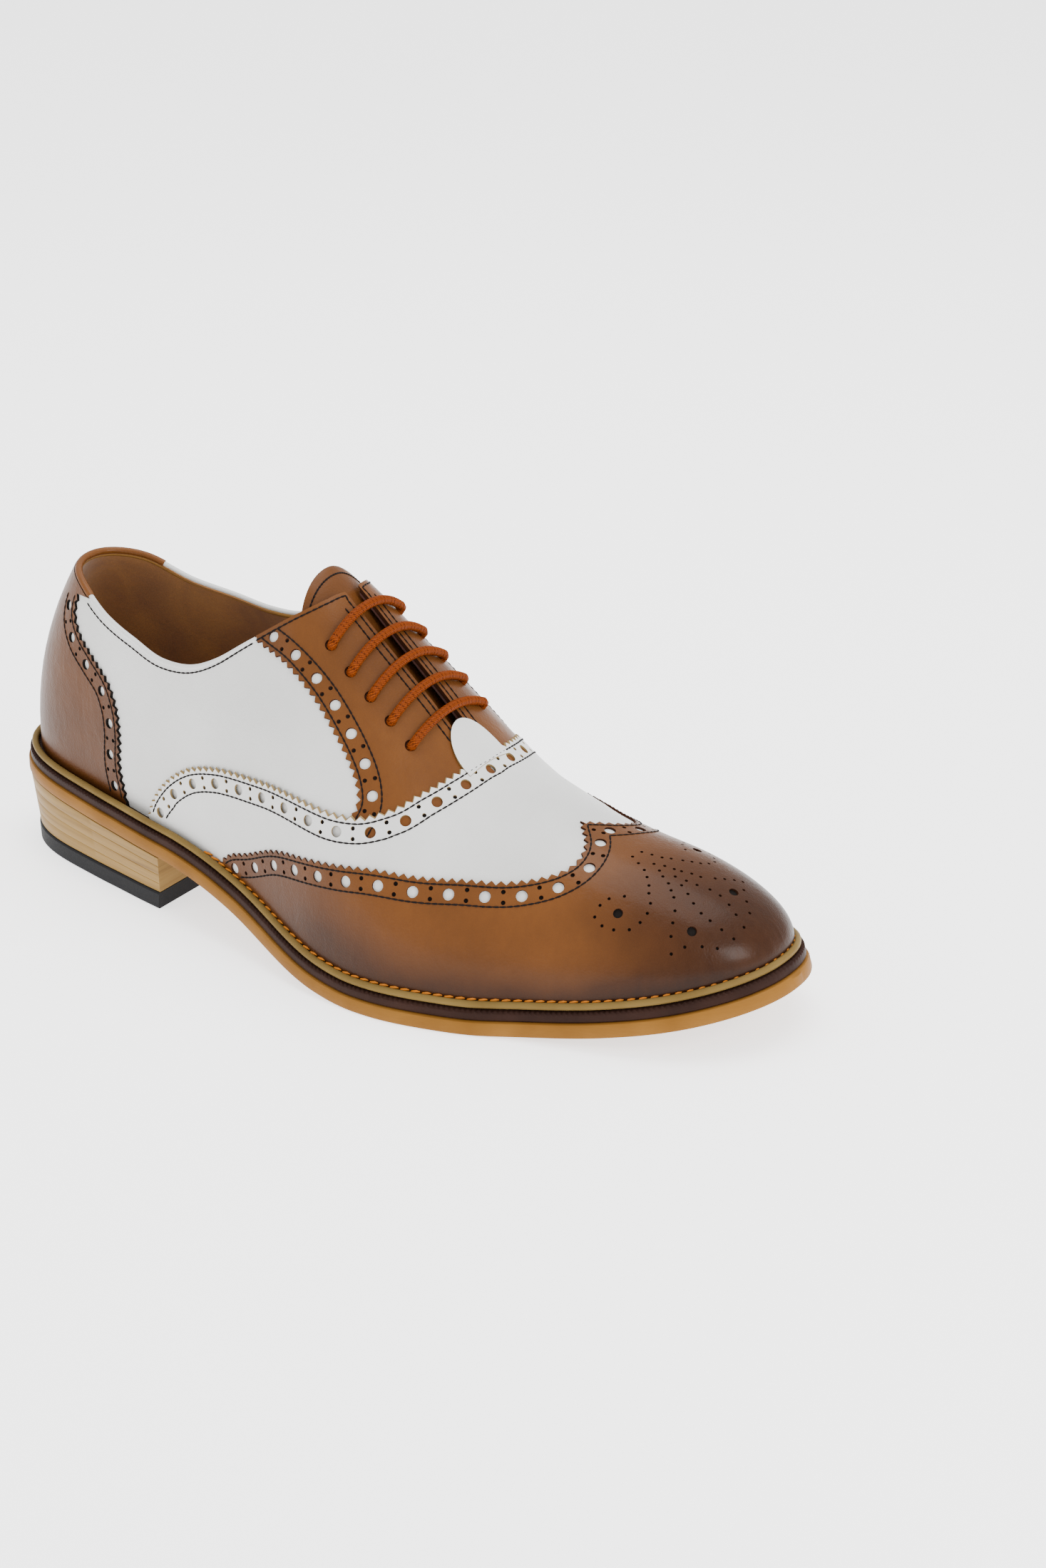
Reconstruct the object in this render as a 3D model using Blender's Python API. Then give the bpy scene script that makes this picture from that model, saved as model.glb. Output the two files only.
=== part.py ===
"""A spectator shoe: a brown and white full-brogue lace-up for a man's right foot, about size 43.

Units are metres. X runs from the heel to the toe, Z is up, and the outer (lateral) side of the foot faces -Y.
The origin lies on the floor, under the middle of the heel.

The shape of the last comes from two short tables, OUTLINE for the sole seen from below and SECTIONS for the
ribs of the upper. surface() gives any point of the upper from them, at any depth in its wall, so the shell,
the overlays, the tongue and the lace all follow the same form.
"""

import math

import bmesh
import bpy
import numpy as np
from mathutils import Vector

# Driving sizes of the sole and heel
SOLE_LENGTH = 0.3036
HEEL_LENGTH = 0.086
HEEL_BACK_HEIGHT = 0.0272
HEEL_BREAST_HEIGHT = 0.0206
HEEL_TAPER = 0.0016
BREAST_RAKE = 0.0030
TOP_PIECE_THICKNESS = 0.0062
TREAD_START = 0.181
TREAD_LENGTH = 0.0383
TOE_SPRING = 0.0156
OUTSOLE_THICKNESS = 0.0049
WELT_THICKNESS = 0.0037
WELT_INSET = 0.0007
SOLE_EDGE_BEVEL = 0.0006
HEEL_STEP_IN = 0.0004
RAND_RADIUS = 0.00115

# Driving sizes of the upper and what it carries
BALL_WIDTH = 0.1065
INSTEP_HEIGHT = 0.1015
COLLAR_HEIGHT = 0.1050
UPPER_MARGIN = 0.0055
UPPER_WALL = 0.0020
INSOLE_THICKNESS = 0.0030
BACK_LEAN = 0.0285
SIDE_BULGE = 0.0007
FACING_THICKNESS = 0.0007
PANEL_THICKNESS = 0.0009
WING_THICKNESS = 0.0013
SLIT_WIDTH = 0.0060
EYELET_RADIUS = 0.0024
EYELET_COUNT = 5
EYELET_PITCH = 0.0083
EYELET_START = 0.1475
LACE_RADIUS = 0.00155
TONGUE_THICKNESS = 0.0020
TONGUE_DROP = 0.0074
CLEARANCE = 0.0003

# How finely the round forms are faceted
STATIONS = 44
HEEL_STATIONS = 12
UPPER_ROWS = 8
ROUND_SIDES = 10

# The sole outline: share of its length, width and swing to the inner side as shares of the ball width
OUTLINE = np.array([
    (0.00, 0.632, 0.002),
    (0.14, 0.600, 0.002),
    (0.26, 0.711, 0.006),
    (0.40, 0.764, -0.029),
    (0.54, 0.978, -0.026),
    (0.62, 1.023, -0.016),
    (0.70, 0.990, 0.003),
    (0.78, 0.918, 0.022),
    (0.86, 0.911, 0.032),
    (0.93, 0.937, 0.045),
    (1.00, 0.958, 0.068),
])
HEEL_ROUNDING = 0.190
HEEL_POWER = 2.1
SPRING_POWER = 1.57
TOE_ROUNDING = 0.600
TOE_POWER = 2.20
TOE_FULLNESS = 2.18

# The ribs of the upper: share of the length, crest height above the feather as a share of the instep height,
# the powers that round the rib upwards and sideways, and the crest's swing as a share of the ball width
SECTIONS = np.array([
    (0.00, 1.330, 2.00, 1.05, 0.000),
    (0.20, 1.410, 2.00, 1.17, 0.000),
    (0.32, 1.215, 2.00, 1.58, 0.000),
    (0.40, 1.040, 2.00, 1.90, 0.000),
    (0.45, 1.000, 2.00, 2.08, 0.000),
    (0.52, 0.873, 2.00, 2.08, 0.003),
    (0.58, 0.747, 2.00, 2.00, 0.005),
    (0.66, 0.535, 2.00, 1.97, 0.010),
    (0.73, 0.450, 2.00, 2.00, 0.016),
    (0.80, 0.383, 2.00, 2.07, 0.026),
    (0.88, 0.310, 2.10, 2.20, 0.040),
    (1.00, 0.198, 2.20, 2.30, 0.068),
])
TOE_CAP_ROUNDING = 0.838
TOE_CAP_POWER = 2.2

# The collar: share of the length, height above the floor as a share of the collar's height at the back
COLLAR = np.array([
    (0.000, 1.000),
    (0.060, 0.968),
    (0.140, 0.897),
    (0.200, 0.862),
    (0.260, 0.832),
    (0.310, 0.845),
    (0.350, 0.889),
    (0.395, 0.968),
    (0.440, 1.048),
    (0.480, 1.110),
])
SLIT_END = 0.618
LEAN_END = 0.380
LEAN_HEIGHT = 0.714

# Edges of the overlays: share of the length, and rise from the feather (0) to the crest line (1)
WING_EDGE = [
    (0.352, -0.05), (0.364, 0.03), (0.395, 0.085), (0.450, 0.155), (0.510, 0.235), (0.579, 0.325),
    (0.640, 0.420), (0.690, 0.500), (0.736, 0.570), (0.765, 0.650), (0.780, 0.740), (0.780, 0.830),
    (0.770, 0.920), (0.755, 1.000),
]
VAMP_EDGE = [
    (0.236, -0.05), (0.241, 0.01), (0.250, 0.070), (0.270, 0.125), (0.305, 0.175), (0.345, 0.205),
    (0.400, 0.255), (0.460, 0.310), (0.510, 0.355), (0.553, 0.415), (0.588, 0.500), (0.612, 0.620),
    (0.627, 0.750), (0.632, 0.880), (0.634, 1.000),
]
COUNTER_EDGE = [
    (0.206, -0.05), (0.206, 0.010), (0.198, 0.055), (0.198, 0.110), (0.192, 0.145), (0.174, 0.180),
    (0.132, 0.213), (0.100, 0.238), (0.077, 0.270), (0.073, 0.310), (0.083, 0.345), (0.090, 0.400),
]
FACING_EDGE = [
    (0.385, 0.700), (0.390, 0.595), (0.430, 0.592), (0.470, 0.586), (0.505, 0.574), (0.535, 0.552),
    (0.553, 0.510), (0.561, 0.460), (0.560, 0.380),
]
TAB_LENGTH = 0.0088
TAB_HALF_WIDTH = 0.0095
EYELET_RISE = 0.755
HIDDEN_RUN_RISE = 0.680
TONGUE_START = 0.405
TONGUE_END = 0.640
TONGUE_RISE = 0.690
TONGUE_STATIONS = 14
TONGUE_ROWS = 4
TAB_CELLS = 8
LACE_BEND = 0.0016
LACE_BAR_POINTS = 4
LACE_CORNER = ((1, 0), (0.293, 0.293), (0, 1))

MERGE = 0.000002
SNAP = 0.0004

UPPER_LIFT = OUTSOLE_THICKNESS + WELT_THICKNESS + CLEARANCE
LACE_OVER = 3 * CLEARANCE + FACING_THICKNESS + LACE_RADIUS
LACE_UNDER = UPPER_WALL + 3 * CLEARANCE + LACE_RADIUS
TREAD_END = TREAD_START + TREAD_LENGTH
HEEL_CENTRE = HEEL_LENGTH / 2

COLOURS = {
    "black_rubber": (0.012, 0.012, 0.013, 0.62, "black heel rubber"),
    "pale_wood": (0.56, 0.40, 0.22, 0.45, "stacked heel wood"),
    "tan_leather": (0.46, 0.30, 0.15, 0.50, "tan sole leather"),
    "dark_welt": (0.055, 0.026, 0.017, 0.48, "dark brown welt"),
    "beige_rand": (0.42, 0.25, 0.12, 0.50, "beige rand"),
    "brown_leather": (0.24, 0.082, 0.026, 0.34, "burnished brown leather"),
    "white_leather": (0.80, 0.80, 0.79, 0.42, "white leather"),
    "lining_leather": (0.40, 0.24, 0.09, 0.75, "mustard lining leather"),
    "lace_cord": (0.36, 0.10, 0.025, 0.60, "waxed orange-brown cord"),
}


def clear_scene():
    for obj in list(bpy.data.objects):
        bpy.data.objects.remove(obj, do_unlink=True)


def make_collection(name):
    collection = bpy.data.collections.new(name)
    bpy.context.scene.collection.children.link(collection)
    return collection


def make_material(name):
    red, green, blue, roughness, label = COLOURS[name]
    material = bpy.data.materials.new(label)
    material.use_nodes = True
    shader = material.node_tree.nodes["Principled BSDF"]
    shader.inputs["Base Color"].default_value = (red, green, blue, 1)
    shader.inputs["Roughness"].default_value = roughness
    shader.inputs["Metallic"].default_value = 0
    material.diffuse_color = (red, green, blue, 1)
    return material


def along(table, column, share):
    """One column of a table at any share of the length, on a smooth curve through its rows."""
    shares = table[:, 0]
    values = table[:, column]
    slopes = np.gradient(values, shares)
    share = np.clip(share, shares[0], shares[-1])
    row = np.clip(np.searchsorted(shares, share, side="right") - 1, 0, len(shares) - 2)
    span = shares[row + 1] - shares[row]
    t = (share - shares[row]) / span
    start = values[row] * (2 * t**3 - 3 * t**2 + 1) + span * slopes[row] * (t**3 - 2 * t**2 + t)
    end = values[row + 1] * (3 * t**2 - 2 * t**3) + span * slopes[row + 1] * (t**3 - t**2)
    return start + end


def superround(t, power, fullness):
    """1 at t = 0, falling to 0 at t = 1 in a rounded corner."""
    return np.maximum(1 - np.clip(t, 0, 1) ** power, 0) ** (1 / fullness)


def closing(share):
    """How far the outline has closed in at the heel and the toe: 1 along the waist, 0 at both ends."""
    heel = superround((HEEL_ROUNDING - share) / HEEL_ROUNDING, 2, HEEL_POWER)
    toe = superround((share - TOE_ROUNDING) / (1 - TOE_ROUNDING), TOE_POWER, TOE_FULLNESS)
    return heel * toe


def underside(x):
    """Height of the outsole's lower face: heel seat, shank, flat tread, toe spring."""
    pitch = (HEEL_BREAST_HEIGHT - HEEL_BACK_HEIGHT) / HEEL_LENGTH
    seat = HEEL_BACK_HEIGHT + pitch * x
    span = TREAD_START - HEEL_LENGTH
    t = np.clip((x - HEEL_LENGTH) / span, 0, 1)
    shank = HEEL_BREAST_HEIGHT * (2 * t**3 - 3 * t**2 + 1) + pitch * span * (t**3 - 2 * t**2 + t)
    spring = TOE_SPRING * np.clip((x - TREAD_END) / (SOLE_LENGTH - TREAD_END), 0, 1) ** SPRING_POWER
    return np.where(x < HEEL_LENGTH, seat, np.where(x < TREAD_START, shank, spring))


def sole_point(share, across, inset, lift):
    """A point over the sole: across runs from -1 (outer edge) to 1 (inner edge) of the outline drawn in by inset."""
    x = inset + share * (SOLE_LENGTH - 2 * inset)
    half_width = along(OUTLINE, 1, share) * BALL_WIDTH / 2 - inset
    y = along(OUTLINE, 2, share) * BALL_WIDTH + across * half_width * closing(share)
    step = 0.0001
    slope = (underside(x + step) - underside(x - step)) / (2 * step)
    length = np.sqrt(1 + slope**2)
    return np.stack([x - lift * slope / length, y, underside(x) + lift / length], axis=-1)


def surface(share, side, rise, depth):
    """A point of the upper: rise runs from the feather (0) to the crest (1), depth goes into its wall."""
    foot = sole_point(share, side, UPPER_MARGIN + depth, UPPER_LIFT)
    crest_y = along(SECTIONS, 4, share) * BALL_WIDTH
    toe = superround((share - TOE_CAP_ROUNDING) / (1 - TOE_CAP_ROUNDING), TOE_CAP_POWER, TOE_CAP_POWER)
    height = (along(SECTIONS, 1, share) * INSTEP_HEIGHT - depth) * toe
    angle = rise * math.pi / 2
    cosine = np.maximum(np.cos(angle), 0)
    reach = foot[..., 1] - crest_y
    belly = SIDE_BULGE * np.sin(2 * angle) * (1 - rise) * np.minimum(1, np.abs(reach) / 0.02)
    y = crest_y + reach * cosine ** (2 / along(SECTIONS, 3, share)) + side * belly
    z = foot[..., 2] + height * np.sin(angle) ** (2 / along(SECTIONS, 2, share))
    climb = np.clip((z - foot[..., 2]) / (COLLAR_HEIGHT * LEAN_HEIGHT), 0, 1.3)
    x = foot[..., 0] + BACK_LEAN * np.clip(1 - share / LEAN_END, 0, 1) ** 1.5 * climb**2
    return np.stack([x, y, z], axis=-1)


def top_rise(share):
    """Where the upper ends: the collar, then the edge of the lace slit, then the crest."""
    foot = sole_point(share, 1, UPPER_MARGIN, UPPER_LIFT)
    height = along(SECTIONS, 1, share) * INSTEP_HEIGHT
    level = (along(COLLAR, 1, share) * COLLAR_HEIGHT - foot[..., 2]) / height
    collar = np.arcsin(np.clip(level, 0, 1) ** (along(SECTIONS, 2, share) / 2)) * 2 / math.pi
    half = np.abs(foot[..., 1] - along(SECTIONS, 4, share) * BALL_WIDTH)
    narrow = np.clip(SLIT_WIDTH / 2 / np.maximum(half, SLIT_WIDTH), 0, 1)
    slit = np.arccos(narrow ** (along(SECTIONS, 3, share) / 2)) * 2 / math.pi
    open_end = np.where(share > COLLAR[-1, 0], slit, np.where(share > 0.35, np.minimum(collar, slit), collar))
    return np.where(share < SLIT_END, open_end, 1)


def normal_at(share, side, rise):
    """The unit direction straight out of the upper."""
    step = 0.002
    ahead = surface(share + step, side, rise, 0) - surface(share - step, side, rise, 0)
    upward = surface(share, side, rise + step, 0) - surface(share, side, rise - step, 0)
    across = side * np.cross(upward, ahead)
    return across / np.linalg.norm(across)


def above(share, side, rise, height):
    """A point straight out from the upper's outer face, or straight in where the height is negative."""
    return surface(share, side, rise, 0) + height * normal_at(share, side, rise)


def girth_at(share):
    """Length of one half of a rib, from the feather to the crest."""
    rises = np.linspace(0, 1, 25)[:, None]
    ribs = surface(np.asarray(share)[None, :], -1, rises, 0)
    return np.linalg.norm(np.diff(ribs, axis=0), axis=-1).sum(axis=0)


GIRTH_SHARES = np.linspace(0, 1, 101)
GIRTHS = girth_at(GIRTH_SHARES)


def shoe_object(name, mesh, material_name, smooth_angle=35):
    mesh.materials.append(MATERIALS[material_name])
    mesh.shade_smooth()
    mesh.set_sharp_from_angle(angle=math.radians(smooth_angle))
    obj = bpy.data.objects.new(name, mesh)
    SHOE.objects.link(obj)
    obj.parent = FRAME
    return obj


def finish_mesh(name, bm, material_name):
    bmesh.ops.recalc_face_normals(bm, faces=bm.faces)
    mesh = bpy.data.meshes.new(name)
    bm.to_mesh(mesh)
    bm.free()
    return shoe_object(name, mesh, material_name)


def unit_grid(bm, columns, rows):
    """A flat grid from (0, 0) to (1, 1). It returns the grid's vertices."""
    made = bmesh.ops.create_grid(bm, x_segments=columns, y_segments=rows, size=0.5)
    bmesh.ops.translate(bm, verts=made["verts"], vec=(0.5, 0.5, 0))
    return made["verts"]


def place_vertices(verts, points):
    for vert, point in zip(verts, points):
        vert.co = point


def loft(name, columns, rows, place, material_name):
    """A closed solid from a grid that place() bends round until its edges meet; open ends are filled."""
    bm = bmesh.new()
    verts = unit_grid(bm, columns, rows)
    flat = np.array([vert.co for vert in verts])
    place_vertices(verts, place(flat[:, 0], flat[:, 1]))
    bmesh.ops.remove_doubles(bm, verts=bm.verts, dist=MERGE)
    ends = [edge for edge in bm.edges if edge.is_boundary]
    if ends:
        bmesh.ops.holes_fill(bm, edges=ends)
    return finish_mesh(name, bm, material_name)


def stack(name, rings, columns, material_name):
    """A solid between outlines that lie one above the other, from the lowest to the highest."""
    loop = [(ring, 1) for ring in rings] + [(ring, -1) for ring in reversed(rings)]

    def place(u, v):
        step = np.rint(v * len(loop)).astype(int) % len(loop)
        points = np.zeros((len(u), 3))
        for index, (ring, side) in enumerate(loop):
            chosen = step == index
            points[chosen] = ring(u[chosen], side)
        return points

    return loft(name, columns, len(loop), place, material_name)


def sole_ring(inset, lift):
    """An outline of the whole sole, lifted off its lower face."""
    return lambda u, side: sole_point((1 - np.cos(math.pi * u)) / 2, side, inset, lift)


def heel_ring(inset, height):
    """An outline of the heel that follows the sole, with the straight breast in front. No height: under the sole."""

    def ring(u, side):
        share = (1 - np.cos(math.pi * u / 2)) * (HEEL_LENGTH - inset) / (SOLE_LENGTH - 2 * inset)
        points = sole_point(share, side, inset, 0)
        drop = 0 if height is None else 1 - height / HEEL_BREAST_HEIGHT
        points[:, 0] -= BREAST_RAKE * drop * points[:, 0] / HEEL_LENGTH
        points[:, 2] = underside(points[:, 0]) - CLEARANCE if height is None else height
        return points

    return ring


def build_sole():
    seat = TOP_PIECE_THICKNESS + CLEARANCE
    stack("top_piece", [heel_ring(HEEL_TAPER, 0), heel_ring(HEEL_TAPER, TOP_PIECE_THICKNESS)],
          HEEL_STATIONS, "black_rubber")
    stack("heel_block", [heel_ring(HEEL_TAPER + HEEL_STEP_IN, seat), heel_ring(HEEL_STEP_IN, None)],
          HEEL_STATIONS, "pale_wood")
    stack("outsole", [
        sole_ring(SOLE_EDGE_BEVEL, 0),
        sole_ring(0, SOLE_EDGE_BEVEL),
        sole_ring(0, OUTSOLE_THICKNESS - SOLE_EDGE_BEVEL),
        sole_ring(SOLE_EDGE_BEVEL, OUTSOLE_THICKNESS),
    ], STATIONS, "tan_leather")
    stack("welt", [
        sole_ring(WELT_INSET, OUTSOLE_THICKNESS + CLEARANCE),
        sole_ring(WELT_INSET, UPPER_LIFT - CLEARANCE),
    ], STATIONS, "dark_welt")
    inner = UPPER_MARGIN + UPPER_WALL + CLEARANCE
    stack("insole", [
        sole_ring(inner, UPPER_LIFT),
        sole_ring(inner, UPPER_LIFT + INSOLE_THICKNESS),
    ], STATIONS, "lining_leather")


def build_rand():
    """The beaded strip that stands on the welt all round the foot of the upper."""
    inset = UPPER_MARGIN - CLEARANCE - WING_THICKNESS - CLEARANCE - RAND_RADIUS
    shares = (1 - np.cos(np.linspace(0, math.pi, STATIONS + 1))) / 2
    outer = sole_point(shares, -1, inset, UPPER_LIFT)
    inner = sole_point(shares[-2:0:-1], 1, inset, UPPER_LIFT)
    path = np.concatenate([outer, inner]) + np.array([0, 0, RAND_RADIUS])
    make_tube("rand", path, RAND_RADIUS, "beige_rand", cyclic=True)


def make_tube(name, points, radius, material_name, cyclic=False):
    curve = bpy.data.curves.new(name, "CURVE")
    curve.dimensions = "3D"
    curve.bevel_depth = radius
    curve.bevel_resolution = 1
    curve.use_fill_caps = not cyclic
    spline = curve.splines.new("POLY")
    spline.points.add(len(points) - 1)
    for spline_point, point in zip(spline.points, points):
        spline_point.co = (*point, 1)
    spline.use_cyclic_u = cyclic
    obj = bpy.data.objects.new(name, curve)
    curve.materials.append(MATERIALS[material_name])
    SHOE.objects.link(obj)
    obj.parent = FRAME
    return obj


def smooth_line(points, steps):
    """A smooth curve through points chosen by hand."""
    points = np.asarray(points, float)
    spans = np.linalg.norm(np.diff(points, axis=0), axis=1)
    table = np.column_stack([np.concatenate([[0], np.cumsum(spans)]), points])
    at = np.linspace(0, table[-1, 0], steps)
    return np.column_stack([along(table, column, at) for column in range(1, table.shape[1])])


def closed_outline(edge, corners):
    """A closed outline on the flat pattern: a smooth edge, and corners that lie past the pattern's own border."""
    return np.concatenate([smooth_line(edge, 60), np.asarray(corners, float)])


def inside(outline, share, rise):
    """Distance into a closed outline of the flat pattern in metres, negative outside it."""
    scale = np.array([SOLE_LENGTH, np.interp(share, GIRTH_SHARES, GIRTHS)])
    here = np.array([share, rise]) * scale
    start = outline * scale
    end = np.roll(start, -1, axis=0)
    span = end - start
    t = np.clip(((here - start) * span).sum(axis=1) / np.maximum((span**2).sum(axis=1), 1e-18), 0, 1)
    distance = np.linalg.norm(here - start - t[:, None] * span, axis=1).min()
    crosses = (start[:, 1] > here[1]) != (end[:, 1] > here[1])
    drop = np.where(crosses, end[:, 1] - start[:, 1], 1)
    hits = crosses & (here[0] < start[:, 0] + (here[1] - start[:, 1]) * span[:, 0] / drop)
    return distance if hits.sum() % 2 else -distance


def crossed_twice(edge, keep):
    """True where the line goes over an edge and back, so that its two ends don't show it."""
    first, second = (vert.co for vert in edge.verts)
    ends = [keep(*first), keep(*second)]
    inner = [keep(*first.lerp(second, step)) for step in (0.25, 0.5, 0.75)]
    return ends[0] * ends[1] > 0 and min(value * ends[0] for value in inner) < 0


def crossing(first, second, keep):
    """How far along the way from one point to another keep() changes sign."""
    low, high = 0, 1
    for _ in range(14):
        middle = (low + high) / 2
        same = keep(*first.lerp(second, middle)) * keep(*first) > 0
        low, high = (middle, high) if same else (low, middle)
    return (low + high) / 2


def trim(bm, keep):
    """Cuts the flat pattern along the line where keep() is zero, and drops what lies outside it."""
    bends = [edge for edge in bm.edges if crossed_twice(edge, keep)]
    bmesh.ops.subdivide_edges(bm, edges=bends, cuts=1)
    bmesh.ops.triangulate(bm, faces=bm.faces)
    value = {vert: keep(*vert.co) for vert in bm.verts}
    line = {vert for vert in bm.verts if abs(value[vert]) < SNAP}
    for edge in list(bm.edges):
        first, second = edge.verts
        if first in line or second in line or value[first] * value[second] > 0:
            continue
        split = crossing(first.co, second.co, keep)
        line.add(bmesh.utils.edge_split(edge, first, split)[1])
    bmesh.ops.connect_verts(bm, verts=list(line))
    waste = [face for face in bm.faces if keep(*face.calc_center_median()) < 0]
    bmesh.ops.delete(bm, geom=waste, context="FACES")


def lasted(name, outer, inner, material_name, keep=None):
    """A piece of the upper between two depths: a flat pattern for each side, cut by keep() and drawn over the last."""
    bm = bmesh.new()
    for side in (-1, 1):
        verts = unit_grid(bm, STATIONS, UPPER_ROWS)
        flat = np.array([vert.co for vert in verts])
        share = (1 - np.cos(math.pi * flat[:, 0])) / 2
        rise = flat[:, 1] * top_rise(share)
        place_vertices(verts, np.stack([share, rise, np.full(len(verts), side)], axis=-1))
    bmesh.ops.triangulate(bm, faces=bm.faces, quad_method="FIXED")
    if keep:
        trim(bm, keep)
    return draw_over(name, bm, outer, inner, material_name)


def draw_over(name, bm, outer, inner, material_name):
    """Draws a flat pattern over the last at its outer depth, then gives it its wall down to the inner depth."""
    share_of = bm.verts.layers.float.new("share")
    rise_of = bm.verts.layers.float.new("rise")
    side_of = bm.verts.layers.float.new("side")
    for vert in bm.verts:
        vert[share_of], vert[rise_of], vert[side_of] = vert.co

    def draw(verts, depth):
        flat = np.array([(vert[share_of], vert[rise_of], vert[side_of]) for vert in verts])
        place_vertices(verts, surface(flat[:, 0], flat[:, 2], flat[:, 1], depth))

    draw(bm.verts[:], outer)
    bmesh.ops.remove_doubles(bm, verts=bm.verts, dist=MERGE)
    wall = bmesh.ops.extrude_face_region(bm, geom=bm.faces[:], use_keep_orig=True)
    draw([item for item in wall["geom"] if isinstance(item, bmesh.types.BMVert)], inner)
    return finish_mesh(name, bm, material_name)


WING = closed_outline(WING_EDGE, [(0.755, 1.5), (1.3, 1.5), (1.3, -0.5), (0.352, -0.5)])
VAMP = closed_outline(VAMP_EDGE, [(0.634, 1.5), (1.3, 1.5), (1.3, -0.5), (0.236, -0.5)])
COUNTER = closed_outline(COUNTER_EDGE, [(0.090, 1.2), (-0.3, 1.2), (-0.3, -0.5), (0.206, -0.5)])
FACING = closed_outline(FACING_EDGE, [(0.640, 0.380), (0.640, 1.2), (0.385, 1.2)])


def tab_outline():
    """The half-round tab at the foot of the slit, a little larger than its seat on the vamp."""
    base = VAMP_EDGE[-1][0]
    girth = np.interp(base, GIRTH_SHARES, GIRTHS)
    turns = np.linspace(0, math.pi / 2, 16)
    shares = base - TAB_LENGTH / SOLE_LENGTH * np.sin(turns)
    rises = 1 - TAB_HALF_WIDTH / girth * np.cos(turns)
    arc = np.column_stack([shares, rises])
    return np.concatenate([arc, [(shares[-1], 1.5), (base + 0.05, 1.5), (base + 0.05, rises[0])]])


TAB = tab_outline()


def build_upper():
    """The shell, then the overlays, each with its own thickness and cut clear of its neighbours."""
    shell = lasted("upper", 0, UPPER_WALL, "white_leather")
    lasted("wing_tip", -CLEARANCE - WING_THICKNESS, -CLEARANCE, "brown_leather",
           lambda share, rise, side: inside(WING, share, rise))
    lasted("vamp_panel", -CLEARANCE - PANEL_THICKNESS, -CLEARANCE, "white_leather",
           lambda share, rise, side: min(inside(VAMP, share, rise), -inside(WING, share, rise) - CLEARANCE))
    lasted("heel_counter", -CLEARANCE - FACING_THICKNESS, -CLEARANCE, "brown_leather",
           lambda share, rise, side: inside(COUNTER, share, rise))
    build_tab()
    facings = []
    for name, own_side in (("facing_lateral", -1), ("facing_medial", 1)):

        def keep(share, rise, side, own_side=own_side):
            if side != own_side:
                return -1
            return min(inside(FACING, share, rise), -inside(VAMP, share, rise) - CLEARANCE)

        facings.append(lasted(name, -CLEARANCE - FACING_THICKNESS, -CLEARANCE, "brown_leather", keep))
    return [shell, *facings]


def crest_pattern(start, end, low_rise, columns, rows):
    """A flat pattern that lies across the crest, from one share of the length to another."""
    bm = bmesh.new()
    for side in (-1, 1):
        verts = unit_grid(bm, columns, rows)
        flat = np.array([vert.co for vert in verts])
        share = start + flat[:, 0] * (end - start)
        rise = low_rise + flat[:, 1] * (1 - low_rise)
        place_vertices(verts, np.stack([share, rise, np.full(len(verts), side)], axis=-1))
    return bm


def build_tongue():
    """A flap under the slit, deep enough to leave the lace its room."""
    bm = crest_pattern(TONGUE_START, TONGUE_END, TONGUE_RISE, TONGUE_STATIONS, TONGUE_ROWS)
    draw_over("tongue", bm, TONGUE_DROP, TONGUE_DROP + TONGUE_THICKNESS, "brown_leather")


def build_tab():
    """The white half-round tab over the feet of both facings, where the slit ends at the vamp."""
    inner = -FACING_THICKNESS - 2.5 * CLEARANCE
    base, low_rise = TAB[-1]
    bm = crest_pattern(TAB[:, 0].min(), base, low_rise, TAB_CELLS, TAB_CELLS)
    trim(bm, lambda share, rise, side: min(inside(TAB, share, rise), -inside(VAMP, share, rise) - CLEARANCE))
    draw_over("lace_tab", bm, inner - PANEL_THICKNESS, inner, "white_leather")


def eyelet_share(index):
    return (EYELET_START + index * EYELET_PITCH) / SOLE_LENGTH


def cut_eyelets(pieces):
    """Round holes straight through the facings and the shell."""
    bm = bmesh.new()
    for side in (-1, 1):
        for index in range(EYELET_COUNT):
            share = eyelet_share(index)
            made = bmesh.ops.create_cone(bm, cap_ends=True, segments=ROUND_SIDES, radius1=EYELET_RADIUS,
                                         radius2=EYELET_RADIUS, depth=4 * UPPER_WALL)
            turn = Vector((0, 0, 1)).rotation_difference(Vector(normal_at(share, side, EYELET_RISE)))
            bmesh.ops.rotate(bm, verts=made["verts"], matrix=turn.to_matrix())
            centre = surface(share, side, EYELET_RISE, UPPER_WALL / 2)
            bmesh.ops.translate(bm, verts=made["verts"], vec=centre)
    mesh = bpy.data.meshes.new("eyelet_cutter")
    bm.to_mesh(mesh)
    bm.free()
    cutter = bpy.data.objects.new("eyelet_cutter", mesh)
    CUTTERS.objects.link(cutter)
    cutter.parent = FRAME
    cutter.hide_render = True
    cutter.display_type = "WIRE"
    for piece in pieces:
        cut = piece.modifiers.new("eyelets", "BOOLEAN")
        cut.operation = "DIFFERENCE"
        cut.object = cutter


def through_eyelet(index, side, run_share, run_rise):
    """From the hidden run inside, up through an eyelet and over its rim; the run lies run_share, run_rise away."""
    share = eyelet_share(index)
    over_crest = LACE_BEND / np.interp(share, GIRTH_SHARES, GIRTHS)
    points = [above(share + run_share * out, side, EYELET_RISE + run_rise * out, LACE_BEND * up - LACE_UNDER)
              for out, up in LACE_CORNER]
    points += [above(share, side, EYELET_RISE + over_crest * out, LACE_OVER - LACE_BEND * up)
               for out, up in reversed(LACE_CORNER)]
    return points


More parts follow.
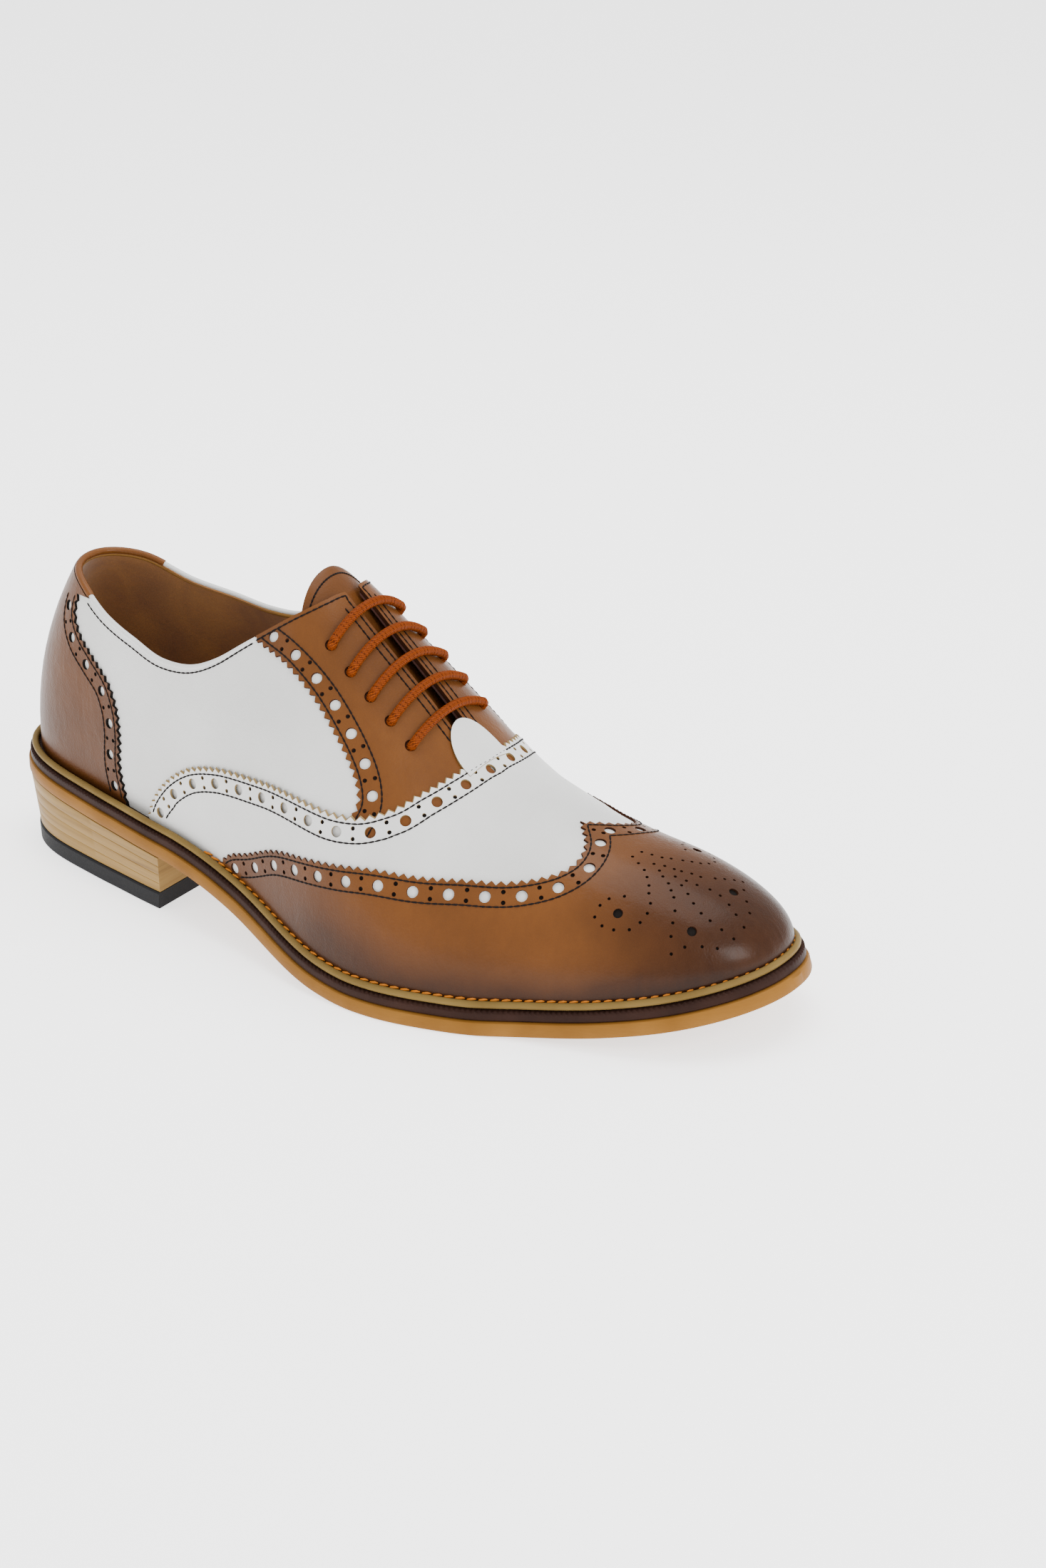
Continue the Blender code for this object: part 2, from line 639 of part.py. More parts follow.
def lace_path():
    """One cord in straight bars: over a bar, in, on to the next eyelet of that side, out, and over again."""
    step = LACE_BEND / SOLE_LENGTH
    sideways = LACE_BEND / np.interp(eyelet_share(0), GIRTH_SHARES, GIRTHS)
    path = [above(eyelet_share(0) - 4 * step, -1, EYELET_RISE, -LACE_UNDER)]
    for index in range(EYELET_COUNT):
        side = -1 if index % 2 == 0 else 1
        last = index == EYELET_COUNT - 1
        path += through_eyelet(index, side, -step, 0)
        bar = np.linspace(EYELET_RISE + 2.4 * sideways, 1, LACE_BAR_POINTS)
        path += [above(eyelet_share(index), side, rise, LACE_OVER) for rise in bar]
        path += [above(eyelet_share(index), -side, rise, LACE_OVER) for rise in bar[-2::-1]]
        path += reversed(through_eyelet(index, -side, 0 if last else step, -sideways if last else 0))
    path += [above(share, -side, HIDDEN_RUN_RISE, -LACE_UNDER)
             for share in np.linspace(eyelet_share(EYELET_COUNT - 1) - 3 * step, eyelet_share(0) - 2 * step, 8)]
    return np.array(path)


def build_lace():
    make_tube("lace", lace_path(), LACE_RADIUS, "lace_cord")


clear_scene()
SHOE = make_collection("spectator_shoe")
CUTTERS = make_collection("cutters")
MATERIALS = {name: make_material(name) for name in COLOURS}
FRAME = bpy.data.objects.new("shoe_frame", None)
FRAME.location = (-HEEL_CENTRE, 0, 0)
SHOE.objects.link(FRAME)
build_sole()
build_rand()
cut_eyelets(build_upper())
build_tongue()
build_lace()
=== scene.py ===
# %% [markdown]
# # Spectator shoe
# This script dresses the plain solids of one shoe: a right full-brogue lace-up in brown and white
# leather. A shoemaker cuts flat pieces of leather, pinks their edges, punches holes in them, stitches
# them together and draws the whole over a last. The script works in the same order, so that each hole
# and tooth is cut where a knife would cut it, and the curve of the last only comes afterwards. The first
# cell also holds four small helpers that many of the steps share.

# %% Tools and the frame
import math

import bmesh
import bpy
import numpy as np
from mathutils import Matrix, Vector


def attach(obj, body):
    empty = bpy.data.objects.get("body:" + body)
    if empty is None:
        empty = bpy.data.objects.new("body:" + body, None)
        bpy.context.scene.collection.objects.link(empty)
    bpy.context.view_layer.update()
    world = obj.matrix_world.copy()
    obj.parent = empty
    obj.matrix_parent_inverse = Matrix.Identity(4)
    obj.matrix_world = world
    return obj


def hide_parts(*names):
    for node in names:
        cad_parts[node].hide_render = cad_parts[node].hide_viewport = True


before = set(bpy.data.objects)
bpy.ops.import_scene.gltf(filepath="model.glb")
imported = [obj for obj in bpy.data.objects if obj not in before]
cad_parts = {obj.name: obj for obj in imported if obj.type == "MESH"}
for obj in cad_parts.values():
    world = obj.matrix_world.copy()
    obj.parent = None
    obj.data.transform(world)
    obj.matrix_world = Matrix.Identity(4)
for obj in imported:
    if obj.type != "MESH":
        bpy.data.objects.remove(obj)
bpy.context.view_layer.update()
print("nodes to dress:", sorted(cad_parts))


def finished_mesh(name, bm):
    """Mesh data from an edited mesh, which is freed."""
    mesh = bpy.data.meshes.new(name)
    bm.to_mesh(mesh)
    bm.free()
    return mesh


def unit_grid(bm, columns, rows):
    """A flat grid from 0 to 1 both ways: its corners and where they are."""
    verts = bmesh.ops.create_grid(bm, x_segments=columns, y_segments=rows, size=0.5)["verts"]
    return verts, np.array([vert.co[:2] for vert in verts]) + 0.5


def extruded(bm, faces):
    """Extrudes faces and keeps them: the new faces and the new corners."""
    grown = bmesh.ops.extrude_face_region(bm, geom=faces, use_keep_orig=True)["geom"]
    backs = {item for item in grown if isinstance(item, bmesh.types.BMFace)}
    return backs, [item for item in grown if isinstance(item, bmesh.types.BMVert)]


def walked_along(points):
    """The distance walked from the first point to each of them."""
    return np.concatenate([[0], np.cumsum(np.linalg.norm(np.diff(points, axis=0), axis=1))])


# %% [markdown]
# ## The camera
# The photograph was taken with a long lens from the outer front, a little above the shoe, and rolled
# slightly. The three angles, the distance and the focal length below were fitted to points measured on
# the photograph.

# %% Camera
PHOTO_WIDTH = 1467
FOCAL_PIXELS = 3804.1
SENSOR_WIDTH_MM = 36
CAMERA_AZIMUTH = math.radians(35.98)
CAMERA_ELEVATION = math.radians(24.99)
CAMERA_ROLL = math.radians(-1.82)
CAMERA_PLACE = (0.6127, -0.6160, 0.4173)


def make_camera():
    backward = Vector((
        math.sin(CAMERA_AZIMUTH) * math.cos(CAMERA_ELEVATION),
        -math.cos(CAMERA_AZIMUTH) * math.cos(CAMERA_ELEVATION),
        math.sin(CAMERA_ELEVATION),
    ))
    level = Vector((math.cos(CAMERA_AZIMUTH), math.sin(CAMERA_AZIMUTH), 0))
    upright = backward.cross(level)
    right = math.cos(CAMERA_ROLL) * level + math.sin(CAMERA_ROLL) * upright
    up = -math.sin(CAMERA_ROLL) * level + math.cos(CAMERA_ROLL) * upright
    camera = bpy.data.cameras.new("studio_camera")
    camera.sensor_fit = "HORIZONTAL"
    camera.sensor_width = SENSOR_WIDTH_MM
    camera.lens = FOCAL_PIXELS / PHOTO_WIDTH * SENSOR_WIDTH_MM
    stand = bpy.data.objects.new("studio_camera", camera)
    turn = Matrix((right, up, backward)).transposed().to_4x4()
    stand.matrix_world = Matrix.Translation(CAMERA_PLACE) @ turn
    bpy.context.scene.collection.objects.link(stand)
    bpy.context.scene.camera = stand
    return camera.lens


print("lens in mm:", round(make_camera(), 2))

# %% [markdown]
# ## Floor and light
# A packshot is lit by large soft boxes over a white floor: one broad box overhead for the long soft
# highlights on the leather, weaker ones from the toe and the heel side, and a bright room that fills the
# shadows. The floor is a light table that glows a little, which lifts it to the white of the photograph.

# %% Floor, room and soft boxes
FLOOR_SIZE = 6.0
FLOOR_WHITE = (0.95, 0.95, 0.95, 1)
FLOOR_ROUGHNESS = 0.9
FLOOR_GLOW = 1.6
ROOM_STRENGTH = 1.4
SHOE_MIDDLE = (0.11, 0, 0.05)
# Name, place, width and height in metres, power in watts
SOFT_BOXES = [
    ("overhead_box", (0.05, 0.25, 1.15), 1.1, 0.8, 13),
    ("toe_box", (1.05, -0.15, 0.55), 0.35, 0.45, 7),
    ("heel_box", (-0.7, -0.9, 0.6), 0.7, 0.7, 2),
]


def make_floor():
    bm = bmesh.new()
    bmesh.ops.create_grid(bm, x_segments=1, y_segments=1, size=FLOOR_SIZE / 2)
    mesh = finished_mesh("studio_floor", bm)
    floor = bpy.data.objects.new("studio_floor", mesh)
    bpy.context.scene.collection.objects.link(floor)
    paper = bpy.data.materials.new("pale paper floor")
    paper.use_nodes = True
    shader = paper.node_tree.nodes["Principled BSDF"]
    shader.inputs["Base Color"].default_value = FLOOR_WHITE
    shader.inputs["Roughness"].default_value = FLOOR_ROUGHNESS
    shader.inputs["Emission Color"].default_value = (1, 1, 1, 1)
    shader.inputs["Emission Strength"].default_value = FLOOR_GLOW
    mesh.materials.append(paper)


def make_soft_box(name, place, width, height, watts):
    box = bpy.data.lights.new(name, "AREA")
    box.shape = "RECTANGLE"
    box.size = width
    box.size_y = height
    box.energy = watts
    stand = bpy.data.objects.new(name, box)
    stand.location = place
    stand.rotation_euler = (Vector(SHOE_MIDDLE) - Vector(place)).to_track_quat("-Z", "Y").to_euler()
    bpy.context.scene.collection.objects.link(stand)


def make_room():
    room = bpy.data.worlds.new("white room")
    room.use_nodes = True
    background = room.node_tree.nodes["Background"]
    background.inputs["Color"].default_value = (1, 1, 1, 1)
    background.inputs["Strength"].default_value = ROOM_STRENGTH
    bpy.context.scene.world = room


make_floor()
make_room()
for soft_box in SOFT_BOXES:
    make_soft_box(*soft_box)

# %% [markdown]
# ## The last
# A last is the solid foot that a shoe is made on. Two short tables describe it, the same ones that the
# solids were drawn from: the outline of the sole, and the ribs of the upper. `last_point` turns a place
# on the last into a point in space. A place is a share of the length, a side (-1 outer, 1 inner), a rise
# from the feather edge (0) to the crest (1) and a depth into the wall, which is negative for what lies
# on top.

# %% Sizes of the last
SOLE_LENGTH = 0.3036
HEEL_LENGTH = 0.086
HEEL_BACK_HEIGHT = 0.0272
HEEL_BREAST_HEIGHT = 0.0206
HEEL_TAPER = 0.0016
HEEL_STEP_IN = 0.0004
BREAST_RAKE = 0.0030
TOP_PIECE_THICKNESS = 0.0062
TREAD_START = 0.181
TREAD_END = 0.2193
TOE_SPRING = 0.0156
OUTSOLE_THICKNESS = 0.0049
WELT_THICKNESS = 0.0037
WELT_INSET = 0.0007
BEAD_RADIUS = 0.00115
BALL_WIDTH = 0.1065
INSTEP_HEIGHT = 0.1015
COLLAR_HEIGHT = 0.1050
UPPER_MARGIN = 0.0055
UPPER_WALL = 0.0020
INSOLE_THICKNESS = 0.0030
BACK_LEAN = 0.0285
SIDE_BULGE = 0.0007
SLIT_WIDTH = 0.0060
CLEARANCE = 0.0003
UPPER_LIFT = OUTSOLE_THICKNESS + WELT_THICKNESS + CLEARANCE
HEEL_CENTRE = HEEL_LENGTH / 2
HEEL_ROUNDING = 0.190
HEEL_POWER = 2.1
SPRING_POWER = 1.57
TOE_ROUNDING = 0.600
TOE_POWER = 2.20
TOE_FULLNESS = 2.18
TOE_CAP_ROUNDING = 0.838
TOE_CAP_POWER = 2.2
SLIT_END = 0.618
SLIT_MEETS_COLLAR = 0.35
LEAN_END = 0.380
LEAN_HEIGHT = 0.714
LEAN_POWER = 1.5
LEAN_MOST_CLIMB = 1.3
BELLY_FADE = 0.02
SLOPE_STEP = 0.0001

# Share of the length, width and swing to the inner side as shares of the ball width
OUTLINE = np.array([
    (0.00, 0.632, 0.002),
    (0.14, 0.600, 0.002),
    (0.26, 0.711, 0.006),
    (0.40, 0.764, -0.029),
    (0.54, 0.978, -0.026),
    (0.62, 1.023, -0.016),
    (0.70, 0.990, 0.003),
    (0.78, 0.918, 0.022),
    (0.86, 0.911, 0.032),
    (0.93, 0.937, 0.045),
    (1.00, 0.958, 0.068),
])
# Share of the length, crest height, the powers that round a rib upwards and sideways, the crest's swing
SECTIONS = np.array([
    (0.00, 1.330, 2.00, 1.05, 0.000),
    (0.20, 1.410, 2.00, 1.17, 0.000),
    (0.32, 1.215, 2.00, 1.58, 0.000),
    (0.40, 1.040, 2.00, 1.90, 0.000),
    (0.45, 1.000, 2.00, 2.08, 0.000),
    (0.52, 0.873, 2.00, 2.08, 0.003),
    (0.58, 0.747, 2.00, 2.00, 0.005),
    (0.66, 0.535, 2.00, 1.97, 0.010),
    (0.73, 0.450, 2.00, 2.00, 0.016),
    (0.80, 0.383, 2.00, 2.07, 0.026),
    (0.88, 0.310, 2.10, 2.20, 0.040),
    (1.00, 0.198, 2.20, 2.30, 0.068),
])
# Share of the length, height above the floor as a share of the collar's height at the back
COLLAR = np.array([
    (0.000, 1.000),
    (0.060, 0.968),
    (0.140, 0.897),
    (0.200, 0.862),
    (0.260, 0.832),
    (0.310, 0.845),
    (0.350, 0.889),
    (0.395, 0.968),
    (0.440, 1.048),
    (0.480, 1.110),
])


# %% The last as a function
def along(table, column, share):
    """One column of a table at any share of the length, on a smooth curve through its rows."""
    shares = table[:, 0]
    values = table[:, column]
    slopes = np.gradient(values, shares)
    share = np.clip(share, shares[0], shares[-1])
    row = np.clip(np.searchsorted(shares, share, side="right") - 1, 0, len(shares) - 2)
    span = shares[row + 1] - shares[row]
    t = (share - shares[row]) / span
    start = values[row] * (2 * t**3 - 3 * t**2 + 1) + span * slopes[row] * (t**3 - 2 * t**2 + t)
    end = values[row + 1] * (3 * t**2 - 2 * t**3) + span * slopes[row + 1] * (t**3 - t**2)
    return start + end


def superround(t, power, fullness):
    """1 at t = 0, falling to 0 at t = 1 in a rounded corner."""
    return np.maximum(1 - np.clip(t, 0, 1) ** power, 0) ** (1 / fullness)


def underside(x):
    """Height of the outsole's lower face: heel seat, shank, flat tread, toe spring."""
    pitch = (HEEL_BREAST_HEIGHT - HEEL_BACK_HEIGHT) / HEEL_LENGTH
    seat = HEEL_BACK_HEIGHT + pitch * x
    span = TREAD_START - HEEL_LENGTH
    t = np.clip((x - HEEL_LENGTH) / span, 0, 1)
    shank = HEEL_BREAST_HEIGHT * (2 * t**3 - 3 * t**2 + 1) + pitch * span * (t**3 - 2 * t**2 + t)
    spring = TOE_SPRING * np.clip((x - TREAD_END) / (SOLE_LENGTH - TREAD_END), 0, 1) ** SPRING_POWER
    return np.where(x < HEEL_LENGTH, seat, np.where(x < TREAD_START, shank, spring))


def sole_point(share, across, inset, lift):
    """A point over the sole. across goes from -1 (outer edge) to 1 (inner edge) of the outline."""
    share = np.asarray(share, float)
    x = inset + share * (SOLE_LENGTH - 2 * inset)
    heel = superround((HEEL_ROUNDING - share) / HEEL_ROUNDING, 2, HEEL_POWER)
    toe = superround((share - TOE_ROUNDING) / (1 - TOE_ROUNDING), TOE_POWER, TOE_FULLNESS)
    half_width = (along(OUTLINE, 1, share) * BALL_WIDTH / 2 - inset) * heel * toe
    y = along(OUTLINE, 2, share) * BALL_WIDTH + across * half_width
    step = SLOPE_STEP
    slope = (underside(x + step) - underside(x - step)) / (2 * step)
    length = np.sqrt(1 + slope**2)
    z = underside(x) + lift / length
    return np.stack(np.broadcast_arrays(x - lift * slope / length - HEEL_CENTRE, y, z), axis=-1)


def last_point(share, side, rise, depth):
    """A point of the upper at a share of the length, a rise up the rib and a depth into the wall."""
    foot = sole_point(share, side, UPPER_MARGIN + depth, UPPER_LIFT)
    crest_y = along(SECTIONS, 4, share) * BALL_WIDTH
    toe = superround((share - TOE_CAP_ROUNDING) / (1 - TOE_CAP_ROUNDING), TOE_CAP_POWER, TOE_CAP_POWER)
    height = (along(SECTIONS, 1, share) * INSTEP_HEIGHT - depth) * toe
    angle = rise * math.pi / 2
    cosine = np.maximum(np.cos(angle), 0)
    reach = foot[..., 1] - crest_y
    belly = SIDE_BULGE * np.sin(2 * angle) * (1 - rise) * np.minimum(1, np.abs(reach) / BELLY_FADE)
    y = crest_y + reach * cosine ** (2 / along(SECTIONS, 3, share)) + side * belly
    z = foot[..., 2] + height * np.maximum(np.sin(angle), 0) ** (2 / along(SECTIONS, 2, share))
    climb = np.clip((z - foot[..., 2]) / (COLLAR_HEIGHT * LEAN_HEIGHT), 0, LEAN_MOST_CLIMB)
    x = foot[..., 0] + BACK_LEAN * np.clip(1 - share / LEAN_END, 0, 1) ** LEAN_POWER * climb**2
    return np.stack([x, y, z], axis=-1)


def top_rise(share):
    """Where the upper ends: the collar, then the edge of the lace slit, then the crest."""
    foot = sole_point(share, 1, UPPER_MARGIN, UPPER_LIFT)
    height = along(SECTIONS, 1, share) * INSTEP_HEIGHT
    level = (along(COLLAR, 1, share) * COLLAR_HEIGHT - foot[..., 2]) / height
    collar = np.arcsin(np.clip(level, 0, 1) ** (along(SECTIONS, 2, share) / 2)) * 2 / math.pi
    half = np.abs(foot[..., 1] - along(SECTIONS, 4, share) * BALL_WIDTH)
    narrow = np.clip(SLIT_WIDTH / 2 / np.maximum(half, SLIT_WIDTH), 0, 1)
    slit = np.arccos(narrow ** (along(SECTIONS, 3, share) / 2)) * 2 / math.pi
    front = np.where(share > SLIT_MEETS_COLLAR, np.minimum(collar, slit), collar)
    return np.where(share < SLIT_END, np.where(share > COLLAR[-1, 0], slit, front), 1)


print("instep crest at:", last_point(0.45, 1, 1, 0).round(4))

# %% [markdown]
# ## The flat pattern
# Near the heel and the toe the last turns so sharply that equal shares of the length are no longer equal
# steps on the leather. Patterns are therefore drawn on a flat sheet with two coordinates. `run` spreads
# the ends out (share = (1 - cos(pi run)) / 2). `over` goes from -1 at the outer feather edge through 0
# on the crest to 1 at the inner feather edge. The heel counter needs another sheet, because it goes
# round the back: there the first coordinate is the run with the sign of its side, and the second is the
# rise. The sheet is measured in units that come close to millimetres, which keeps the cutting tools
# accurate.

# %% Sheets and their measures
RUN_UNITS = 400.0
OVER_UNITS = 110.0
METRIC_STEP = 0.05
NORMAL_STEP = 0.25
INWARD_PROBE = 0.002
CREASE_FADE = 0.06


def share_of(run):
    return (1 - np.cos(math.pi * np.clip(run, 0, 1))) / 2


def run_of(share):
    return np.arccos(1 - 2 * np.asarray(share, float)) / math.pi


def crest_sheet(flat, depth):
    """Points of a sheet that lies across the crest."""
    run = flat[:, 0] / RUN_UNITS
    over = flat[:, 1] / OVER_UNITS
    side = np.where(over < 0, -1.0, 1.0)
    return creased(share_of(run), side, 1 - np.abs(over), depth)


def heel_sheet(flat, depth):
    """Points of a sheet that goes round the back of the heel."""
    run = flat[:, 0] / RUN_UNITS
    side = np.where(run < 0, -1.0, 1.0)
    return creased(share_of(np.abs(run)), side, flat[:, 1] / OVER_UNITS, depth)


# Walking creases over the ball: share on the crest, forward slant down the sides, depth, width, reach
CREASES = [
    (0.655, 0.030, 0.00022, 0.0050, 0.62),
    (0.690, 0.042, 0.00018, 0.0045, 0.55),
    (0.628, 0.012, 0.00016, 0.0040, 0.50),
]
# Hollows where the leather draws in: share, rise, depth, and how far they reach in share and rise
HOLLOWS = [
    (0.47, 0.20, 0.0010, 0.070, 0.16),
    (0.30, 0.22, 0.0008, 0.070, 0.20),
    (0.68, 0.50, -0.0004, 0.050, 0.16),
]


def creased(share, side, rise, depth):
    """The last with the small hollows and creases of worn-in leather, which sink all layers together."""
    sink = np.zeros(np.broadcast(share, rise).shape)
    for at, slant, deep, width, reach in CREASES:
        away = (share - at - slant * (1 - rise)) * SOLE_LENGTH / width
        sink += deep * np.exp(-away**2) * np.exp(-(((1 - rise) / reach) ** 4))
    for at, height, deep, length, spread in HOLLOWS:
        sink += deep * np.exp(-(((share - at) / length) ** 2) - ((rise - height) / spread) ** 2)
    fade = np.clip(rise / CREASE_FADE, 0, 1)
    return last_point(share, side, rise, depth + sink * fade)


def slopes_of(sheet, flat, step):
    """Differences of the sheet along both its axes, over a step to either side."""
    ahead = sheet(flat + (step, 0), 0) - sheet(flat - (step, 0), 0)
    up = sheet(flat + (0, step), 0) - sheet(flat - (0, step), 0)
    return ahead, up


def outward(sheet, flat):
    """Unit normals of the leather."""
    ahead, up = slopes_of(sheet, flat, NORMAL_STEP)
    across = np.cross(up, ahead)
    across /= np.maximum(np.linalg.norm(across, axis=1, keepdims=True), 1e-12)
    centre = sheet(flat, 0) - sheet(flat, INWARD_PROBE)
    return across * np.sign((across * centre).sum(axis=1, keepdims=True))


def smooth_line(points, steps):
    """A smooth curve through given points."""
    points = np.asarray(points, float)
    table = np.column_stack([walked_along(points), points])
    at = np.linspace(0, table[-1, 0], steps)
    return np.column_stack([along(table, column, at) for column in range(1, table.shape[1])])


def paced(sheet, line, pace, even=False):
    """Points along a line of the sheet, one every pace on the leather itself."""
    walked = walked_along(sheet(line, 0))
    count = max(2, int(round(walked[-1] / pace)))
    count += count % 2 if even else 0
    at = np.linspace(0, walked[-1], count + 1)
    return np.column_stack([np.interp(at, walked, line[:, axis]) for axis in (0, 1)])


def leather_metric(sheet, flat):
    """What one unit of the sheet is on the leather: squares of both axes and how far they lean together."""
    ahead, up = (slope / (2 * METRIC_STEP) for slope in slopes_of(sheet, flat, METRIC_STEP))
    return (ahead * ahead).sum(axis=1), (ahead * up).sum(axis=1), (up * up).sum(axis=1)


def shifted(sheet, line, distance):
    """The line moved sideways on the leather, to its left where the distance is positive."""
    along_run, lean, along_over = leather_metric(sheet, line)
    way = np.gradient(line, axis=0)
    left = np.stack([
        -lean * way[:, 0] - along_over * way[:, 1],
        along_run * way[:, 0] + lean * way[:, 1],
    ], axis=1)
    area = np.sqrt(np.maximum(along_run * along_over - lean**2, 1e-18))
    pace = np.sqrt(along_run * way[:, 0]**2 + 2 * lean * way[:, 0] * way[:, 1] + along_over * way[:, 1]**2)
    return line + left * np.reshape(distance, (-1, 1)) / np.maximum(area * pace, 1e-15)[:, None]


# %% [markdown]
# ## Edges of the pieces
# These are the lines that a pattern cutter draws: where each overlay ends, as share and rise. The
# overlays that lie across the crest have the same line on both sides.

# %% Edge lines
WING_EDGE = [
    (0.350, -0.050), (0.362, 0.007), (0.380, 0.045), (0.407, 0.080), (0.455, 0.150), (0.509, 0.219),
    (0.583, 0.315), (0.636, 0.401), (0.693, 0.491), (0.734, 0.545), (0.770, 0.627), (0.788, 0.718),
    (0.790, 0.810), (0.783, 0.885), (0.768, 0.961), (0.760, 1.000),
]
VAMP_EDGE = [
    (0.238, -0.050), (0.246, 0.000), (0.256, 0.036), (0.279, 0.083), (0.309, 0.129), (0.343, 0.170),
    (0.393, 0.227), (0.453, 0.285), (0.509, 0.348), (0.549, 0.395), (0.576, 0.441), (0.603, 0.525),
    (0.624, 0.665), (0.637, 0.825), (0.642, 1.000),
]
COUNTER_EDGE = [
    (0.206, -0.05), (0.206, 0.010), (0.198, 0.055), (0.198, 0.110), (0.192, 0.145), (0.174, 0.180),
    (0.132, 0.213), (0.100, 0.238), (0.077, 0.270), (0.073, 0.310), (0.083, 0.345), (0.090, 0.400),
]
FACING_EDGE = [
    (0.398, 0.545), (0.449, 0.569), (0.492, 0.577), (0.526, 0.559), (0.552, 0.526), (0.567, 0.478),
    (0.565, 0.422), (0.558, 0.360),
]
EDGE_STEPS = 240


def above_feather(edge):
    """A smooth edge line from share and rise, without what lies under the feather."""
    line = smooth_line(edge, EDGE_STEPS)
    return line[line[:, 1] >= 0]


def on_crest_sheet(edge, side):
    line = above_feather(edge)
    return np.column_stack([run_of(line[:, 0]) * RUN_UNITS, side * (1 - line[:, 1]) * OVER_UNITS])


def on_heel_sheet(edge, side):
    line = above_feather(edge)
    return np.column_stack([side * run_of(line[:, 0]) * RUN_UNITS, line[:, 1] * OVER_UNITS])


def across_crest(edge):
    """An edge on both sides, from the outer feather edge over the crest to the inner one."""
    near = on_crest_sheet(edge, -1)
    far = on_crest_sheet(edge, 1)[::-1]
    return np.concatenate([near, far[1:]])


WING_LINE = across_crest(WING_EDGE)
VAMP_LINE = across_crest(VAMP_EDGE)
print("points on the wing edge:", len(WING_LINE))

# %% [markdown]
# ## Finishes
# Every finish is built from nodes. Object coordinates are in metres here, so a noise of scale 1000 has
# grains of about a millimetre. The brown leather also reads an attribute called `burnish`, which the
# polisher's brush decides: it is worked out from the place on the last when a piece is made.

# %% A small helper for finishes
QUIET_SHINE = 0.05


def feed(material, socket, value):
    """Feeds a socket from an output, or sets it to a colour, a vector or a number."""
    if isinstance(value, bpy.types.NodeSocket):
        material.node_tree.links.new(value, socket)
    else:
        socket.default_value = (*value, 1) if socket.type == "RGBA" else value


def node_on(material, kind, inputs):
    """A new node, whose inputs are fed by their names."""
    node = material.node_tree.nodes.new(kind)
    for name, value in inputs.items():
        feed(material, node.inputs[name], value)
    return node


def start_finish(name, roughness, colour=(0.5, 0.5, 0.5)):
    material = bpy.data.materials.new(name)
    material.use_nodes = True
    shader = material.node_tree.nodes["Principled BSDF"]
    coat(material, shader, {"Base Color": colour, "Roughness": roughness, "Specular IOR Level": QUIET_SHINE})
    return material, shader, node_on(material, "ShaderNodeTexCoord", {}).outputs["Object"]


def coat(material, shader, inputs):
    """Feeds several inputs of the shader."""
    for name, value in inputs.items():
        feed(material, shader.inputs[name], value)


def noise_on(material, place, scale, detail=3.0, distortion=0.0):
    inputs = {"Vector": place, "Scale": scale, "Detail": detail, "Distortion": distortion}
    return node_on(material, "ShaderNodeTexNoise", inputs).outputs["Fac"]


def pores_on(material, place, scale):
    return node_on(material, "ShaderNodeTexVoronoi", {"Vector": place, "Scale": scale}).outputs["Distance"]


def squeezed(material, place, scale, turn=(0, 0, 0)):
    """Object coordinates turned, and stretched along some axes, for streaks and wood."""
    inputs = {"Vector": place, "Scale": scale, "Rotation": turn}
    return node_on(material, "ShaderNodeMapping", inputs).outputs["Vector"]


def ramp_on(material, value, stops):
    node = node_on(material, "ShaderNodeValToRGB", {"Fac": value})
    ramp = node.color_ramp
    while len(ramp.elements) < len(stops):
        ramp.elements.new(0.5)
    for element, (at, colour) in zip(ramp.elements, stops):
        element.position = at
        element.color = (*colour, 1)
    return node.outputs["Color"]


def mixed(material, share, first, second):
    """Two colours mixed. The node's colour sockets share their names with others, so they go by number."""
    node = material.node_tree.nodes.new("ShaderNodeMix")
    node.data_type = "RGBA"
    for index, value in ((0, share), (6, first), (7, second)):
        feed(material, node.inputs[index], value)
    return node.outputs[2]


def ranged(material, value, low, high):
    inputs = {"Value": value, "To Min": low, "To Max": high}
    return node_on(material, "ShaderNodeMapRange", inputs).outputs["Result"]


def attribute_of(material, name):
    node = material.node_tree.nodes.new("ShaderNodeAttribute")
    node.attribute_name = name
    return node.outputs["Fac"]


def raise_grain(material, shader, layers):
    """Stacks bump nodes: each layer is a height output, its strength and its distance in metres."""
    below = None
    for height, strength, distance in layers:
        inputs = {"Height": height, "Strength": strength, "Distance": distance}
        if below:
            inputs["Normal"] = below
        below = node_on(material, "ShaderNodeBump", inputs).outputs["Normal"]
    feed(material, shader.inputs["Normal"], below)


# %% [markdown]
# ### Brown leather
# Crust leather is dyed by hand and burnished with wax: lighter where it was left alone, dark at the toe
# and along the welt. A ramp over the burnish value gives the tone, a soft noise clouds it, and a streaky
# one leaves the brush marks that run down to the sole.

# %% Brown leather
BROWN_TONES = [
    (0.00, (0.142, 0.050, 0.011)),
    (0.30, (0.084, 0.029, 0.007)),
    (0.65, (0.030, 0.0095, 0.0025)),
    (1.00, (0.011, 0.0032, 0.0012)),
]
BROWN_STREAK = (0.060, 0.020, 0.005)


